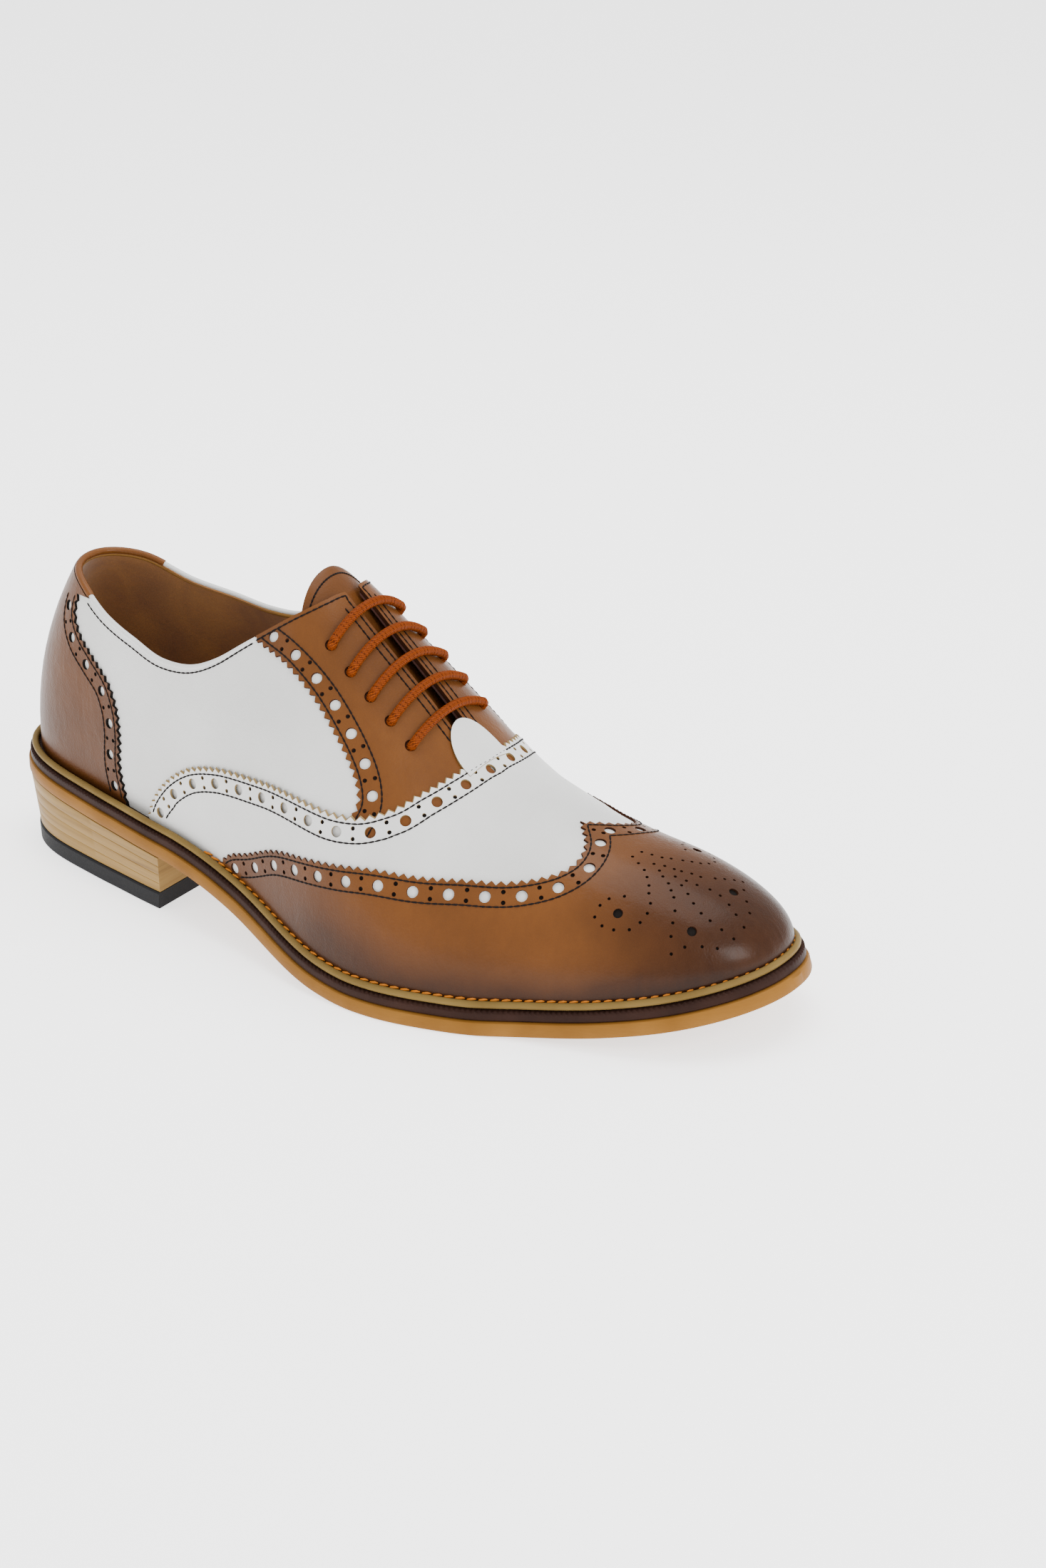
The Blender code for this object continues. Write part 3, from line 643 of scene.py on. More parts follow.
def brown_leather():
    material, shader, place = start_finish("burnished brown leather", 0.36)
    cloud = noise_on(material, place, 38, 4)
    streaks = noise_on(material, squeezed(material, place, (420, 420, 60)), 1.0, 3)
    worn = material.node_tree.nodes.new("ShaderNodeMath")
    worn.operation = "MULTIPLY_ADD"
    cloudy = ranged(material, cloud, -0.24, 0.24)
    for index, value in enumerate((cloudy, 1.0, attribute_of(material, "burnish"))):
        feed(material, worn.inputs[index], value)
    tone = ramp_on(material, worn.outputs[0], BROWN_TONES)
    coat(material, shader, {
        "Base Color": mixed(material, ranged(material, streaks, 0.0, 0.34), tone, BROWN_STREAK),
        "Roughness": ranged(material, streaks, 0.28, 0.46),
        "Specular IOR Level": 0.08,
        "Coat Weight": 0.10,
        "Coat Roughness": 0.20,
    })
    pores = pores_on(material, place, 1500)
    wrinkle = noise_on(material, squeezed(material, place, (260, 260, 160)), 1.0, 4, 0.6)
    raise_grain(material, shader, [(pores, 0.16, 0.0003), (wrinkle, 0.45, 0.0004), (streaks, 0.12, 0.0002)])
    return material


# %% [markdown]
# ### White leather
# The white parts are smooth and a little chalky, with a faint grey-warm cloud and a very fine grain.

# %% White leather
WHITE_TONES = [(0.30, (0.560, 0.556, 0.535)), (0.70, (0.630, 0.628, 0.612))]


def white_leather():
    material, shader, place = start_finish("white smooth leather", 0.42)
    cloud = noise_on(material, place, 30, 3)
    coat(material, shader, {
        "Base Color": ramp_on(material, cloud, WHITE_TONES),
        "Roughness": ranged(material, cloud, 0.38, 0.50),
        "Specular IOR Level": 0.35,
    })
    pores = pores_on(material, place, 1700)
    wrinkle = noise_on(material, place, 330, 5, 0.8)
    raise_grain(material, shader, [(pores, 0.16, 0.0003), (wrinkle, 0.36, 0.0004)])
    return material


# %% [markdown]
# ### Cut edges, lining and insole
# A pinked edge shows the raw middle of the hide: beige under the white, dark under the brown. The lining
# is a mustard suede-like leather, with a red-brown piece under the facings.

# %% Cut edges, linings
def cut_edge(name, colour):
    material, shader, place = start_finish(name, 0.8, colour)
    fibres = noise_on(material, place, 2200, 3)
    shade = tuple(value * 0.55 for value in colour)
    tone = mixed(material, ranged(material, fibres, 0.0, 0.5), colour, shade)
    coat(material, shader, {"Base Color": tone})
    raise_grain(material, shader, [(fibres, 0.4, 0.0002)])
    return material


def lining_leather(name, light, dark, roughness):
    material, shader, place = start_finish(name, roughness)
    nap = noise_on(material, place, 900, 4)
    cloud = noise_on(material, place, 55, 5, 0.5)
    tone = ramp_on(material, cloud, [(0.25, dark), (0.75, light)])
    coat(material, shader, {
        "Base Color": mixed(material, ranged(material, nap, 0.0, 0.4), tone, dark),
        "Sheen Weight": 0.25,
        "Sheen Roughness": 0.6,
    })
    wrinkle = noise_on(material, place, 120, 4, 1.0)
    raise_grain(material, shader, [(nap, 0.35, 0.0002), (wrinkle, 0.35, 0.0006)])
    return material


# %% [markdown]
# ### Sole, heel and bead
# The bead and the sole edge are leather, inked and waxed. The welt is nearly black-brown. The heel is
# stacked from thin pale lifts, whose glue lines show as fine darker lines that follow the seat of the
# heel, so the grain is squeezed in height. The top piece is moulded rubber.

# %% Sole finishes
def sole_leather(name, light, dark, roughness):
    material, shader, place = start_finish(name, roughness)
    fibres = noise_on(material, squeezed(material, place, (90, 90, 1400)), 1.0, 4, 0.3)
    tone = ramp_on(material, noise_on(material, place, 60, 3), [(0.3, dark), (0.7, light)])
    coat(material, shader, {"Base Color": mixed(material, ranged(material, fibres, 0.0, 0.5), tone, dark)})
    raise_grain(material, shader, [(fibres, 0.3, 0.0002)])
    return material


WOOD_TONES = [
    (0.30, (0.120, 0.062, 0.014)),
    (0.46, (0.220, 0.128, 0.032)),
    (0.72, (0.270, 0.165, 0.046)),
]
WOOD_CLOUD = (0.220, 0.120, 0.030)


def heel_wood():
    material, shader, place = start_finish("stacked heel wood", 0.5)
    slope = math.atan2(HEEL_BACK_HEIGHT - HEEL_BREAST_HEIGHT, HEEL_LENGTH)
    lifts = squeezed(material, place, (14, 14, 520), (0, -slope, 0))
    grain = noise_on(material, lifts, 1.0, 5, 0.4)
    cloud = noise_on(material, place, 70, 3)
    tone = ramp_on(material, grain, WOOD_TONES)
    coat(material, shader, {
        "Base Color": mixed(material, ranged(material, cloud, 0.0, 0.35), tone, WOOD_CLOUD),
        "Coat Weight": 0.15,
        "Coat Roughness": 0.3,
    })
    raise_grain(material, shader, [(grain, 0.25, 0.0002)])
    return material


def heel_rubber():
    material, shader, place = start_finish("black heel rubber", 0.55, (0.016, 0.016, 0.017))
    speckle = noise_on(material, place, 1600, 3)
    coat(material, shader, {"Roughness": ranged(material, speckle, 0.42, 0.7)})
    raise_grain(material, shader, [(speckle, 0.35, 0.0002)])
    return material


# %% [markdown]
# ### Thread and lace
# Thread has a slight sheen and a twist that shows only close up. The lace is braided in the mesh itself,
# so its finish only has to colour the strands: waxed orange-brown, with painted shade in the hollows,
# which an attribute marks.

# %% Thread and lace finishes
def thread(name, colour):
    material, shader, place = start_finish(name, 0.55, colour)
    twist = noise_on(material, place, 2600, 2)
    raise_grain(material, shader, [(twist, 0.4, 0.0001)])
    return material


# Colours of the lace from its hollows to the tops of its strands: the dark hollows are painted shade
LACE_TONES_AND_HOLLOW_SHADE = [
    (0.20, (0.030, 0.005, 0.001)),
    (0.60, (0.150, 0.028, 0.002)),
    (0.95, (0.290, 0.060, 0.005)),
]
LACE_FUZZ = (0.160, 0.030, 0.002)


def lace_cord():
    material, shader, place = start_finish("waxed braided lace", 0.5)
    fuzz = noise_on(material, place, 1500, 3)
    # The braid's height darkens the hollows with painted shade
    tone = ramp_on(material, attribute_of(material, "braid_shade"), LACE_TONES_AND_HOLLOW_SHADE)
    tone = mixed(material, ranged(material, fuzz, 0.0, 0.4), tone, LACE_FUZZ)
    coat(material, shader, {"Base Color": tone})
    raise_grain(material, shader, [(fuzz, 0.3, 0.0001)])
    return material


FINISH = {
    "brown": brown_leather(),
    "white": white_leather(),
    "white edge": cut_edge("raw beige edge", (0.260, 0.180, 0.080)),
    "brown edge": cut_edge("inked brown edge", (0.040, 0.014, 0.007)),
    # The counter's inked cut edge, also the finish of the plugs of painted shade in the small holes
    "black edge and painted hole shade": cut_edge("inked black edge and painted hole shade", (0.010, 0.008, 0.007)),
    "tan edge": cut_edge("tan lining edge", (0.260, 0.130, 0.035)),
    "mustard": lining_leather("mustard lining", (0.300, 0.125, 0.018), (0.150, 0.052, 0.008), 0.78),
    "red lining": lining_leather("red-brown lining", (0.110, 0.018, 0.007), (0.050, 0.009, 0.004), 0.55),
    "bead": sole_leather("beige bead", (0.180, 0.118, 0.036), (0.120, 0.074, 0.021), 0.45),
    "welt": sole_leather("dark brown welt", (0.030, 0.013, 0.009), (0.016, 0.007, 0.005), 0.5),
    "sole edge": sole_leather("tan sole edge", (0.230, 0.104, 0.020), (0.165, 0.070, 0.012), 0.48),
    "wood": heel_wood(),
    "rubber": heel_rubber(),
    "black thread": thread("black thread", (0.008, 0.006, 0.006)),
    "gold thread": thread("gold thread", (0.420, 0.130, 0.012)),
    "lace": lace_cord(),
}
print("finishes:", len(FINISH))

# %% [markdown]
# ## Cutting leather
# A piece starts as its outline and its punched holes, drawn on the sheet. `triangle_fill` fills the
# leather between them. The fill is then sliced into a fine grid with `bisect_plane`, drawn over the
# last, and extruded inwards to its thickness. The holes stay round on the finished shoe, because each
# circle is first turned into the oval that the last pulls back to a circle.

# %% The cutting bench
GRID_UNITS = 3.2
PUNCH_SIDES = 18
SMALL_PUNCH_SIDES = 8
SMALL_PUNCH_LIMIT = 0.0010
SLICE_MARGIN = 0.01
SLICE_MERGE = 0.0001
WELD = 0.000004
LEAST_AGREEMENT = 0.2


def round_on_leather(sheet, centres):
    """For each centre the two-by-two table that turns a circle of the leather into its oval."""
    along_run, lean, along_over = leather_metric(sheet, centres)
    squares = np.moveaxis(np.array([[along_run, lean], [lean, along_over]]), -1, 0)
    values, ways = np.linalg.eigh(squares)
    return (ways / np.sqrt(values)[:, None, :]) @ np.swapaxes(ways, 1, 2)


def punched(bm, sheet, holes):
    """Adds the rims of the holes to a pattern. A hole is a centre on the sheet and a radius in metres."""
    if not holes:
        return
    ovals = round_on_leather(sheet, np.array([hole[0] for hole in holes]))
    ovals = ovals * np.array([hole[1] for hole in holes])[:, None, None]
    for (centre, radius), oval in zip(holes, ovals):
        sides = PUNCH_SIDES if radius > SMALL_PUNCH_LIMIT else SMALL_PUNCH_SIDES
        shape = Matrix((oval[0], oval[1])).to_3x3().to_4x4()
        bmesh.ops.create_circle(bm, cap_ends=False, segments=sides, radius=1,
                                matrix=Matrix.Translation((*centre, 0)) @ shape)


def sliced(bm, axis, step):
    """Slices the flat pattern into strips."""
    values = [vert.co[axis] for vert in bm.verts]
    low = math.ceil(min(values) / step + SLICE_MARGIN)
    high = math.floor(max(values) / step - SLICE_MARGIN)
    way = np.eye(3)[axis]
    for index in range(low, high + 1):
        bmesh.ops.bisect_plane(bm, geom=bm.verts[:] + bm.edges[:] + bm.faces[:], dist=SLICE_MERGE,
                               plane_co=way * index * step, plane_no=way)


def flat_pattern(sheet, outline, holes, grid=GRID_UNITS):
    bm = bmesh.new()
    verts = [bm.verts.new((*point, 0)) for point in outline]
    for first, second in zip(verts, verts[1:] + verts[:1]):
        bm.edges.new((first, second))
    punched(bm, sheet, holes)
    bmesh.ops.triangle_fill(bm, use_beauty=True, use_dissolve=False, edges=bm.edges[:], normal=(0, 0, 1))
    sliced(bm, 0, grid)
    sliced(bm, 1, grid)
    return bm


# Wax left all over, and then on the toe, along the feather and on the heel
BURNISH_ALL = 0.16
BURNISH_TOE = 0.70
BURNISH_FEATHER = 0.58
BURNISH_HEEL = 0.25
# Where along the length each one starts, the span in which it grows, and the rise in which it fades
TOE_WAX_START = 0.80
TOE_WAX_SPAN = 0.17
TOE_WAX_POWER = 1.3
FEATHER_WAX_START = 0.34
FEATHER_WAX_SPAN = 0.2
FEATHER_WAX_RISE = 0.15
HEEL_WAX_END = 0.3
HEEL_WAX_RISE = 0.25


def burnish_at(share, rise):
    """How much wax the polisher left: the toe and the feather line are darkest."""
    toe = np.clip((share - TOE_WAX_START) / TOE_WAX_SPAN, 0, 1) ** TOE_WAX_POWER
    feather = np.exp(-((rise / FEATHER_WAX_RISE) ** 2))
    feather = feather * np.clip((share - FEATHER_WAX_START) / FEATHER_WAX_SPAN, 0, 1)
    heel = BURNISH_HEEL * np.exp(-((rise / HEEL_WAX_RISE) ** 2)) * (share < HEEL_WAX_END)
    return np.clip(BURNISH_ALL + BURNISH_TOE * toe + BURNISH_FEATHER * feather + heel, 0, 1)


def dressed(name, mesh, finishes, node, smooth=True):
    for finish in finishes:
        mesh.materials.append(FINISH[finish])
    if smooth:
        mesh.shade_smooth()
    obj = bpy.data.objects.new(name, mesh)
    bpy.context.scene.collection.objects.link(obj)
    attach(obj, "root")
    if node:
        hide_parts(node)
    return obj


def drawn_over(name, sheet, bm, outer, inner, finishes, node, skive=None):
    """Draws a pattern over the last and thickens it: face, cut edge and back, which skive moves."""
    bm.verts.index_update()
    flat = np.array([vert.co[:2] for vert in bm.verts])
    facing_out = outward(sheet, flat)
    run_layer = bm.verts.layers.float.new("run")
    over_layer = bm.verts.layers.float.new("over")
    for vert, point, spot in zip(bm.verts, sheet(flat, outer), flat):
        vert[run_layer] = spot[0]
        vert[over_layer] = spot[1]
        vert.co = point
    bm.normal_update()
    bm.faces.ensure_lookup_table()
    tops = bm.faces[:]
    probe = tops[len(tops) // 2]
    if Vector(facing_out[probe.verts[0].index]).dot(probe.normal) < 0:
        bmesh.ops.reverse_faces(bm, faces=tops)
    backs, verts = extruded(bm, tops)
    spots = np.array([(vert[run_layer], vert[over_layer]) for vert in verts])
    for vert, point in zip(verts, sheet(skive(spots) if skive else spots, inner)):
        vert.co = point
    bmesh.ops.reverse_faces(bm, faces=list(backs))
    top_set = set(tops)
    for face in bm.faces:
        face.material_index = 0 if face in top_set else 2 if face in backs else 1
        face.smooth = face.material_index != 1
    bmesh.ops.remove_doubles(bm, verts=bm.verts, dist=WELD)
    bmesh.ops.recalc_face_normals(bm, faces=bm.faces)
    mesh = finished_mesh(name, bm)
    obj = dressed(name, mesh, finishes, node, smooth=False)
    shade_as_leather(mesh, sheet)
    return obj


def column_of(items, name, kind=np.float32, width=1):
    """One property of all items of a mesh, as an array."""
    column = np.empty(len(items) * width, kind)
    items.foreach_get(name, column)
    return column


def set_points(mesh, name, values):
    """A new attribute with one number a corner."""
    mesh.attributes.new(name, "FLOAT", "POINT").data.foreach_set("value", values.astype(np.float32))


def shade_as_leather(mesh, sheet):
    """Gives faces the last's own normals, so the slices don't show, and marks the burnish."""
    columns = [column_of(mesh.attributes[name].data, "value") for name in ("run", "over")]
    flat = np.column_stack(columns).astype(float)
    normals = outward(sheet, flat)
    share = share_of(np.abs(flat[:, 0]) / RUN_UNITS)
    rise = 1 - np.abs(flat[:, 1]) / OVER_UNITS if sheet is crest_sheet else flat[:, 1] / OVER_UNITS
    set_points(mesh, "burnish", burnish_at(share, rise))
    face_normals = column_of(mesh.polygons, "normal", width=3).reshape(-1, 3)
    of_face = np.repeat(np.arange(len(mesh.polygons)), column_of(mesh.polygons, "loop_total", np.int32))
    kind = column_of(mesh.polygons, "material_index", np.int32)[of_face]
    corner = column_of(mesh.loops, "vertex_index", np.int32)
    leather = normals[corner] * np.where(kind == 2, -1, 1)[:, None]
    agrees = (leather * face_normals[of_face]).sum(axis=1) > LEAST_AGREEMENT
    chosen = np.where(((kind != 1) & agrees)[:, None], leather, face_normals[of_face])
    mesh.normals_split_custom_set(chosen.tolist())


print("cutting bench is ready, one slice every", GRID_UNITS, "units")

# %% [markdown]
# ## Pinking and punching
# A pinking iron cuts a row of small teeth, a broguing punch makes a large hole between pairs of small
# ones, and the whole band is framed by two rows of stitches. All of them follow the edge of the piece at
# fixed distances.

# %% Pinked edges and brogue bands
TOOTH_PITCH = 0.0030
TOOTH_DEPTH = 0.0014
BAND_FIRST_ROW = 0.0021
BAND_HOLES = 0.0050
BAND_SECOND_ROW = 0.0080
BIG_HOLE = 0.00180
SMALL_HOLE = 0.00072
HOLE_PITCH = 0.0113
PAIR_SPREAD = 0.0016
LOOP_LIMIT = 0.90


def pinked(sheet, line, inward):
    """The edge with teeth. inward is 1 where the piece lies to the left of the line, -1 to its right."""
    points = paced(sheet, line, TOOTH_PITCH / 2, even=True)
    depth = np.where(np.arange(len(points)) % 2 == 0, TOOTH_DEPTH, 0) * inward
    return shifted(sheet, points, depth)


def band_line(sheet, line, inward, distance):
    """A line inside the piece at a distance from its edge, without the loops of sharp corners."""
    moved = shifted(sheet, line, inward * distance)
    edge = sheet(line, 0)
    inside = sheet(moved, 0)
    gaps = np.linalg.norm(inside[:, None] - edge[None], axis=2).min(axis=1)
    return moved[gaps > LOOP_LIMIT * distance]


def brogue_holes(sheet, line, inward):
    """Big holes with a pair of small ones between each two. Both ends of the row stay free."""
    centres = band_line(sheet, line, inward, BAND_HOLES)
    spots = paced(sheet, centres, HOLE_PITCH / 2, even=True)
    outer = shifted(sheet, spots, PAIR_SPREAD)
    inner = shifted(sheet, spots, -PAIR_SPREAD)
    holes = []
    for index in range(1, len(spots) - 1):
        if index % 2:
            holes.append((spots[index], BIG_HOLE))
        else:
            holes += [(outer[index], SMALL_HOLE), (inner[index], SMALL_HOLE)]
    return holes


def small_ones(holes):
    return [hole for hole in holes if hole[1] == SMALL_HOLE]


# Dark plugs of painted shade for the floors of the small punched holes: their height and how much wider than
# the hole they are
SHADE_PLUG_HEIGHT = 0.00012
SHADE_PLUG_OVERSIZE = 1.1
SHADE_PLUGS = []


def remember_hole_shade(sheet, holes, depth):
    """Small holes look black from the shade deep in them. Each gets a dark plug of painted shade at its
    floor.
    """
    SHADE_PLUGS.extend((sheet, centre, radius, depth) for centre, radius in holes)


def make_hole_shade_plugs():
    bm = bmesh.new()
    for sheet, centre, radius, depth in SHADE_PLUGS:
        spot = np.array([centre])
        normal = Vector(outward(sheet, spot)[0])
        turn = normal.to_track_quat("Z", "Y").to_matrix().to_4x4()
        turn.translation = sheet(spot, depth)[0]
        wide = radius * SHADE_PLUG_OVERSIZE
        bmesh.ops.create_cone(bm, cap_ends=True, segments=SMALL_PUNCH_SIDES, radius1=wide, radius2=wide,
                              depth=SHADE_PLUG_HEIGHT, matrix=turn)
    # The plugs are painted shade, in the same dark inked finish as the counter's cut edge
    mesh = finished_mesh("painted_hole_shade", bm)
    dressed("painted_hole_shade", mesh, ["black edge and painted hole shade"], "upper", smooth=False)
    print("dark pits:", len(SHADE_PLUGS))


# %% [markdown]
# ## Stitches
# Each stitch is one small bean of thread, half sunk in the leather. It is an icosphere of twenty faces,
# pulled long, and laid on the leather along its row.

# %% Sewing
STITCH_PITCH = 0.0021
STITCH_OVERLAP = 0.00050
THREAD_RADIUS = 0.00034
UP = Vector((0, 0, 1))


def sew(name, rows, finish, node):
    """Sews rows of stitches. A row is a sheet, a line on it, and the depth that it lies at."""
    bm = bmesh.new()
    total = 0
    for sheet, line, depth in rows:
        spots = paced(sheet, line, STITCH_PITCH)
        ends = sheet(spots, depth)
        middles = (spots[1:] + spots[:-1]) / 2
        normals = outward(sheet, middles)
        for start, end, normal in zip(ends[:-1], ends[1:], normals):
            lay_stitch(bm, Vector(start), Vector(end), Vector(normal), THREAD_RADIUS)
            total += 1
    print(name, "has", total, "stitches")
    return dressed(name, finished_mesh(name, bm), [finish], node)


def lay_stitch(bm, start, end, normal, radius):
    along_row = end - start
    half = max((along_row.length + STITCH_OVERLAP) / 2, radius)
    along_row.normalize()
    across = normal.cross(along_row).normalized()
    normal = along_row.cross(across)
    turn = Matrix((along_row * half, across * radius, normal * radius)).transposed().to_4x4()
    turn.translation = (start + end) / 2
    bmesh.ops.create_icosphere(bm, subdivisions=1, radius=1, matrix=turn)


# %% [markdown]
# ## The layers of the upper
# The shell is the lowest. The facings lie on it, the vamp laps over the feet of the facings, and the
# wing tip laps over the vamp, so that each pinked edge has leather under it, and each big hole shows the
# layer below. The small holes show dark plugs of painted shade instead.

# %% Depths of the layers
SHELL = (0.0, 0.0012)
LINING = (0.00125, 0.0021)
FACING = (-0.00062, -0.00003)
VAMP = (-0.00125, -0.00066)
WING = (-0.00195, -0.00129)
COUNTER = (-0.00085, -0.00003)
TAB = (-0.00150, -0.00068)
# Finishes of a piece's face, its cut edge and its back
WHITE_PIECE = ("white", "white edge", "white edge")
BROWN_PIECE = ("brown", "brown edge", "brown edge")
COUNTER_PIECE = ("brown", "black edge and painted hole shade", "brown edge")

# %% [markdown]
# ### Shell
# The quarters and the covered front of the shoe are one closed wall: a grid for each side, bent over the
# last, joined along the crest and the two ends, and extruded inwards. The white face ends at the collar
# in a folded edge.

# %% Shell and lining
SHELL_GRID = (150, 34)
LINING_GRID = (110, 26)
LINING_END_RUN = 0.66
SHELL_SHARP = math.radians(40)


def wall_of_last(name, outer, inner, grid, end_run, finishes, choose):
    """A wall from the feather up to the collar or the slit: a grid a side, to end_run, extruded inwards."""
    bm = bmesh.new()
    layers = [bm.verts.layers.float.new(layer) for layer in ("share", "rise", "side")]
    for side in (-1.0, 1.0):
        verts, flat = unit_grid(bm, *grid)
        share = share_of(flat[:, 0] * end_run)
        rise = flat[:, 1] * top_rise(share)
        sides = np.full(len(share), side)
        spots = np.column_stack([share, rise, sides])
        for vert, point, spot in zip(verts, creased(share, sides, rise, outer), spots):
            vert.co = point
            for layer, value in zip(layers, spot):
                vert[layer] = value
    bmesh.ops.remove_doubles(bm, verts=bm.verts, dist=WELD)
    bmesh.ops.recalc_face_normals(bm, faces=bm.faces)
    tops = set(bm.faces)
    backs, verts = extruded(bm, bm.faces[:])
    spots = np.array([[vert[layer] for layer in layers] for vert in verts])
    for vert, point in zip(verts, creased(spots[:, 0], spots[:, 2], spots[:, 1], inner)):
        vert.co = point
    bmesh.ops.recalc_face_normals(bm, faces=bm.faces)
    for face in bm.faces:
        face.smooth = True
        share, rise = (np.mean([vert[layer] for vert in face.verts]) for layer in layers[:2])
        face.material_index = choose(share, rise, face in tops)
    mesh = finished_mesh(name, bm)
    mesh.set_sharp_from_angle(angle=SHELL_SHARP)
    print(name, len(mesh.polygons), "faces")
    return dressed(name, mesh, finishes, "upper", smooth=False)


RED_LINING_START = 0.345
STAY_START = 0.47
STAY_END = 0.632
STAY_LOW_RISE = 0.665


def shell_finish(share, rise, is_face):
    """White outside, but brown under the eyelets, where a stay of brown leather backs the facings."""
    if STAY_START < share < STAY_END and rise > STAY_LOW_RISE:
        return 2
    return 0 if is_face else 1


def lining_finish(share, _rise, _is_face):
    return 1 if share > RED_LINING_START else 0


def make_shell():
    shell = wall_of_last("shell", *SHELL, SHELL_GRID, 1, ["white", "white edge", "brown edge"], shell_finish)
    lining = wall_of_last("lining", *LINING, LINING_GRID, LINING_END_RUN, ["mustard", "red lining"],
                          lining_finish)


make_shell()

# %% [markdown]
# ### Folded collar
# Round the collar the white leather is turned over a cord and stitched down, which leaves a small
# rounded edge. At the heel the same edge is covered by a brown strip, and the front of the collar
# belongs to the facings.

# %% Collar edge
COLLAR_ROLL = 0.00095
LINING_ROLL = 0.00090
COLLAR_END = 0.450
ROLL_SIDES = 10
COLLAR_STEPS = 120
BACK_STEPS = 40
ROLL_DEPTH = 0.0007
BACK_STRIP_RADIUS = COLLAR_ROLL * 1.35
LINING_EDGE_DROP = 0.004
ROLL_OVERRUN = 0.01
COUNTER_TOP = 0.090
FACING_TOP = 0.398


def make_tube(name, points, radius, finish, node, cyclic=False, sides=ROLL_SIDES):
    """A round roll along a line: a curve with a bevel, made a mesh."""
    curve = bpy.data.curves.new(name, "CURVE")
    curve.dimensions = "3D"
    curve.bevel_depth = radius
    curve.bevel_resolution = max(1, sides // 2 - 1)
    curve.use_fill_caps = not cyclic
    spline = curve.splines.new("POLY")
    spline.points.add(len(points) - 1)
    for spline_point, point in zip(spline.points, points):
        spline_point.co = (*point, 1)
    spline.use_cyclic_u = cyclic
    source = bpy.data.objects.new(name + "_line", curve)
    bpy.context.scene.collection.objects.link(source)
    bpy.context.view_layer.update()
    mesh = bpy.data.meshes.new_from_object(source.evaluated_get(bpy.context.evaluated_depsgraph_get()))
    mesh.name = name
    bpy.data.objects.remove(source, do_unlink=True)
    mesh.materials.clear()
    return dressed(name, mesh, [finish], node)


def collar_points(start, end, side, steps, depth=ROLL_DEPTH, drop=0.0):
    share = share_of(np.linspace(run_of(start), run_of(end), steps))
    return creased(share, np.full(steps, float(side)), top_rise(share) - drop, np.full(steps, depth))


def round_the_back(end, steps, *level):
    """Points of the collar from a share on the outer side, round the heel, to it on the inner side."""
    outer = collar_points(end, 0, -1, steps, *level)
    return np.concatenate([outer[:-1], collar_points(0, end, 1, steps, *level)])


def make_collar():
    for name, side in (("collar_edge_outer", -1), ("collar_edge_inner", 1)):
        line = collar_points(COUNTER_TOP - ROLL_OVERRUN, FACING_TOP + ROLL_OVERRUN, side, COLLAR_STEPS)
        make_tube(name, line, COLLAR_ROLL, "white", "upper")
    back = round_the_back(COUNTER_TOP, BACK_STEPS)
    strip = make_tube("collar_back_strip", back, BACK_STRIP_RADIUS, "brown", "heel_counter")
    inside = round_the_back(COLLAR_END, COLLAR_STEPS, LINING[0], LINING_EDGE_DROP)
    make_tube("lining_edge", inside, LINING_ROLL, "tan edge", "upper")


make_collar()

# %% [markdown]
# ### Vamp
# The white vamp has long tails down both sides. Its pinked edge laps over the facings, and its own front
# runs on under the wing tip, where it shows white through the big holes.

# %% Vamp
UNDERLAP = 0.012
UNDERLAP_PACE = 0.004
EDGE_MARGIN = 0.1
RAW_EDGE = 0.0007
RAW_REACH = 1.6


def under_wing():
    """The hidden front edge of the vamp, under the wing tip."""
    line = paced(crest_sheet, band_line(crest_sheet, WING_LINE, -1, UNDERLAP), UNDERLAP_PACE)
    return within(line, 0)


def within(line, margin):
    """Leaves out what comes within a margin of the feather, or lies under it."""
    return line[np.abs(line[:, 1]) < OVER_UNITS - margin]


def slanted_vamp_edge(spots):
    """Pushes the back of the pinked edge out from under the face, so that the raw beige of the cut shows."""
    away = np.linalg.norm(spots[:, None] - VAMP_LINE[None], axis=2)
    push = shifted(crest_sheet, VAMP_LINE, RAW_EDGE) - VAMP_LINE
    return spots + push[away.argmin(axis=1)] * (away.min(axis=1) < RAW_REACH)[:, None]


def make_vamp():
    edge = within(pinked(crest_sheet, VAMP_LINE, -1), EDGE_MARGIN)
    front = under_wing()
    corners = [(edge[0][0], -OVER_UNITS), (front[0][0], -OVER_UNITS)]
    far_corners = [(front[-1][0], OVER_UNITS), (edge[-1][0], OVER_UNITS)]
    outline = [*edge[::-1], *corners, *front, *far_corners]
    holes = brogue_holes(crest_sheet, VAMP_LINE, -1)
    bm = flat_pattern(crest_sheet, outline, holes)
    remember_hole_shade(crest_sheet, small_ones(holes), VAMP[1])
    obj = drawn_over("vamp", crest_sheet, bm, *VAMP, WHITE_PIECE, "vamp_panel", slanted_vamp_edge)
    print("vamp:", len(holes), "holes,", len(obj.data.polygons), "faces")


make_vamp()

# %% [markdown]
# ### Wing tip and its medallion
# The wing tip is the brown toe. Its pinked edge comes to a peak on the crest. The medallion on the toe
# is a traditional figure of punched dots: three rows that bow out from the middle and curl round two
# pairs of larger holes. It is drawn for one half and mirrored over the line of the toe.

# %% Medallion
MEDALLION_AXIS = ((0.2480, 0.0000), (0.2950, -0.0040))
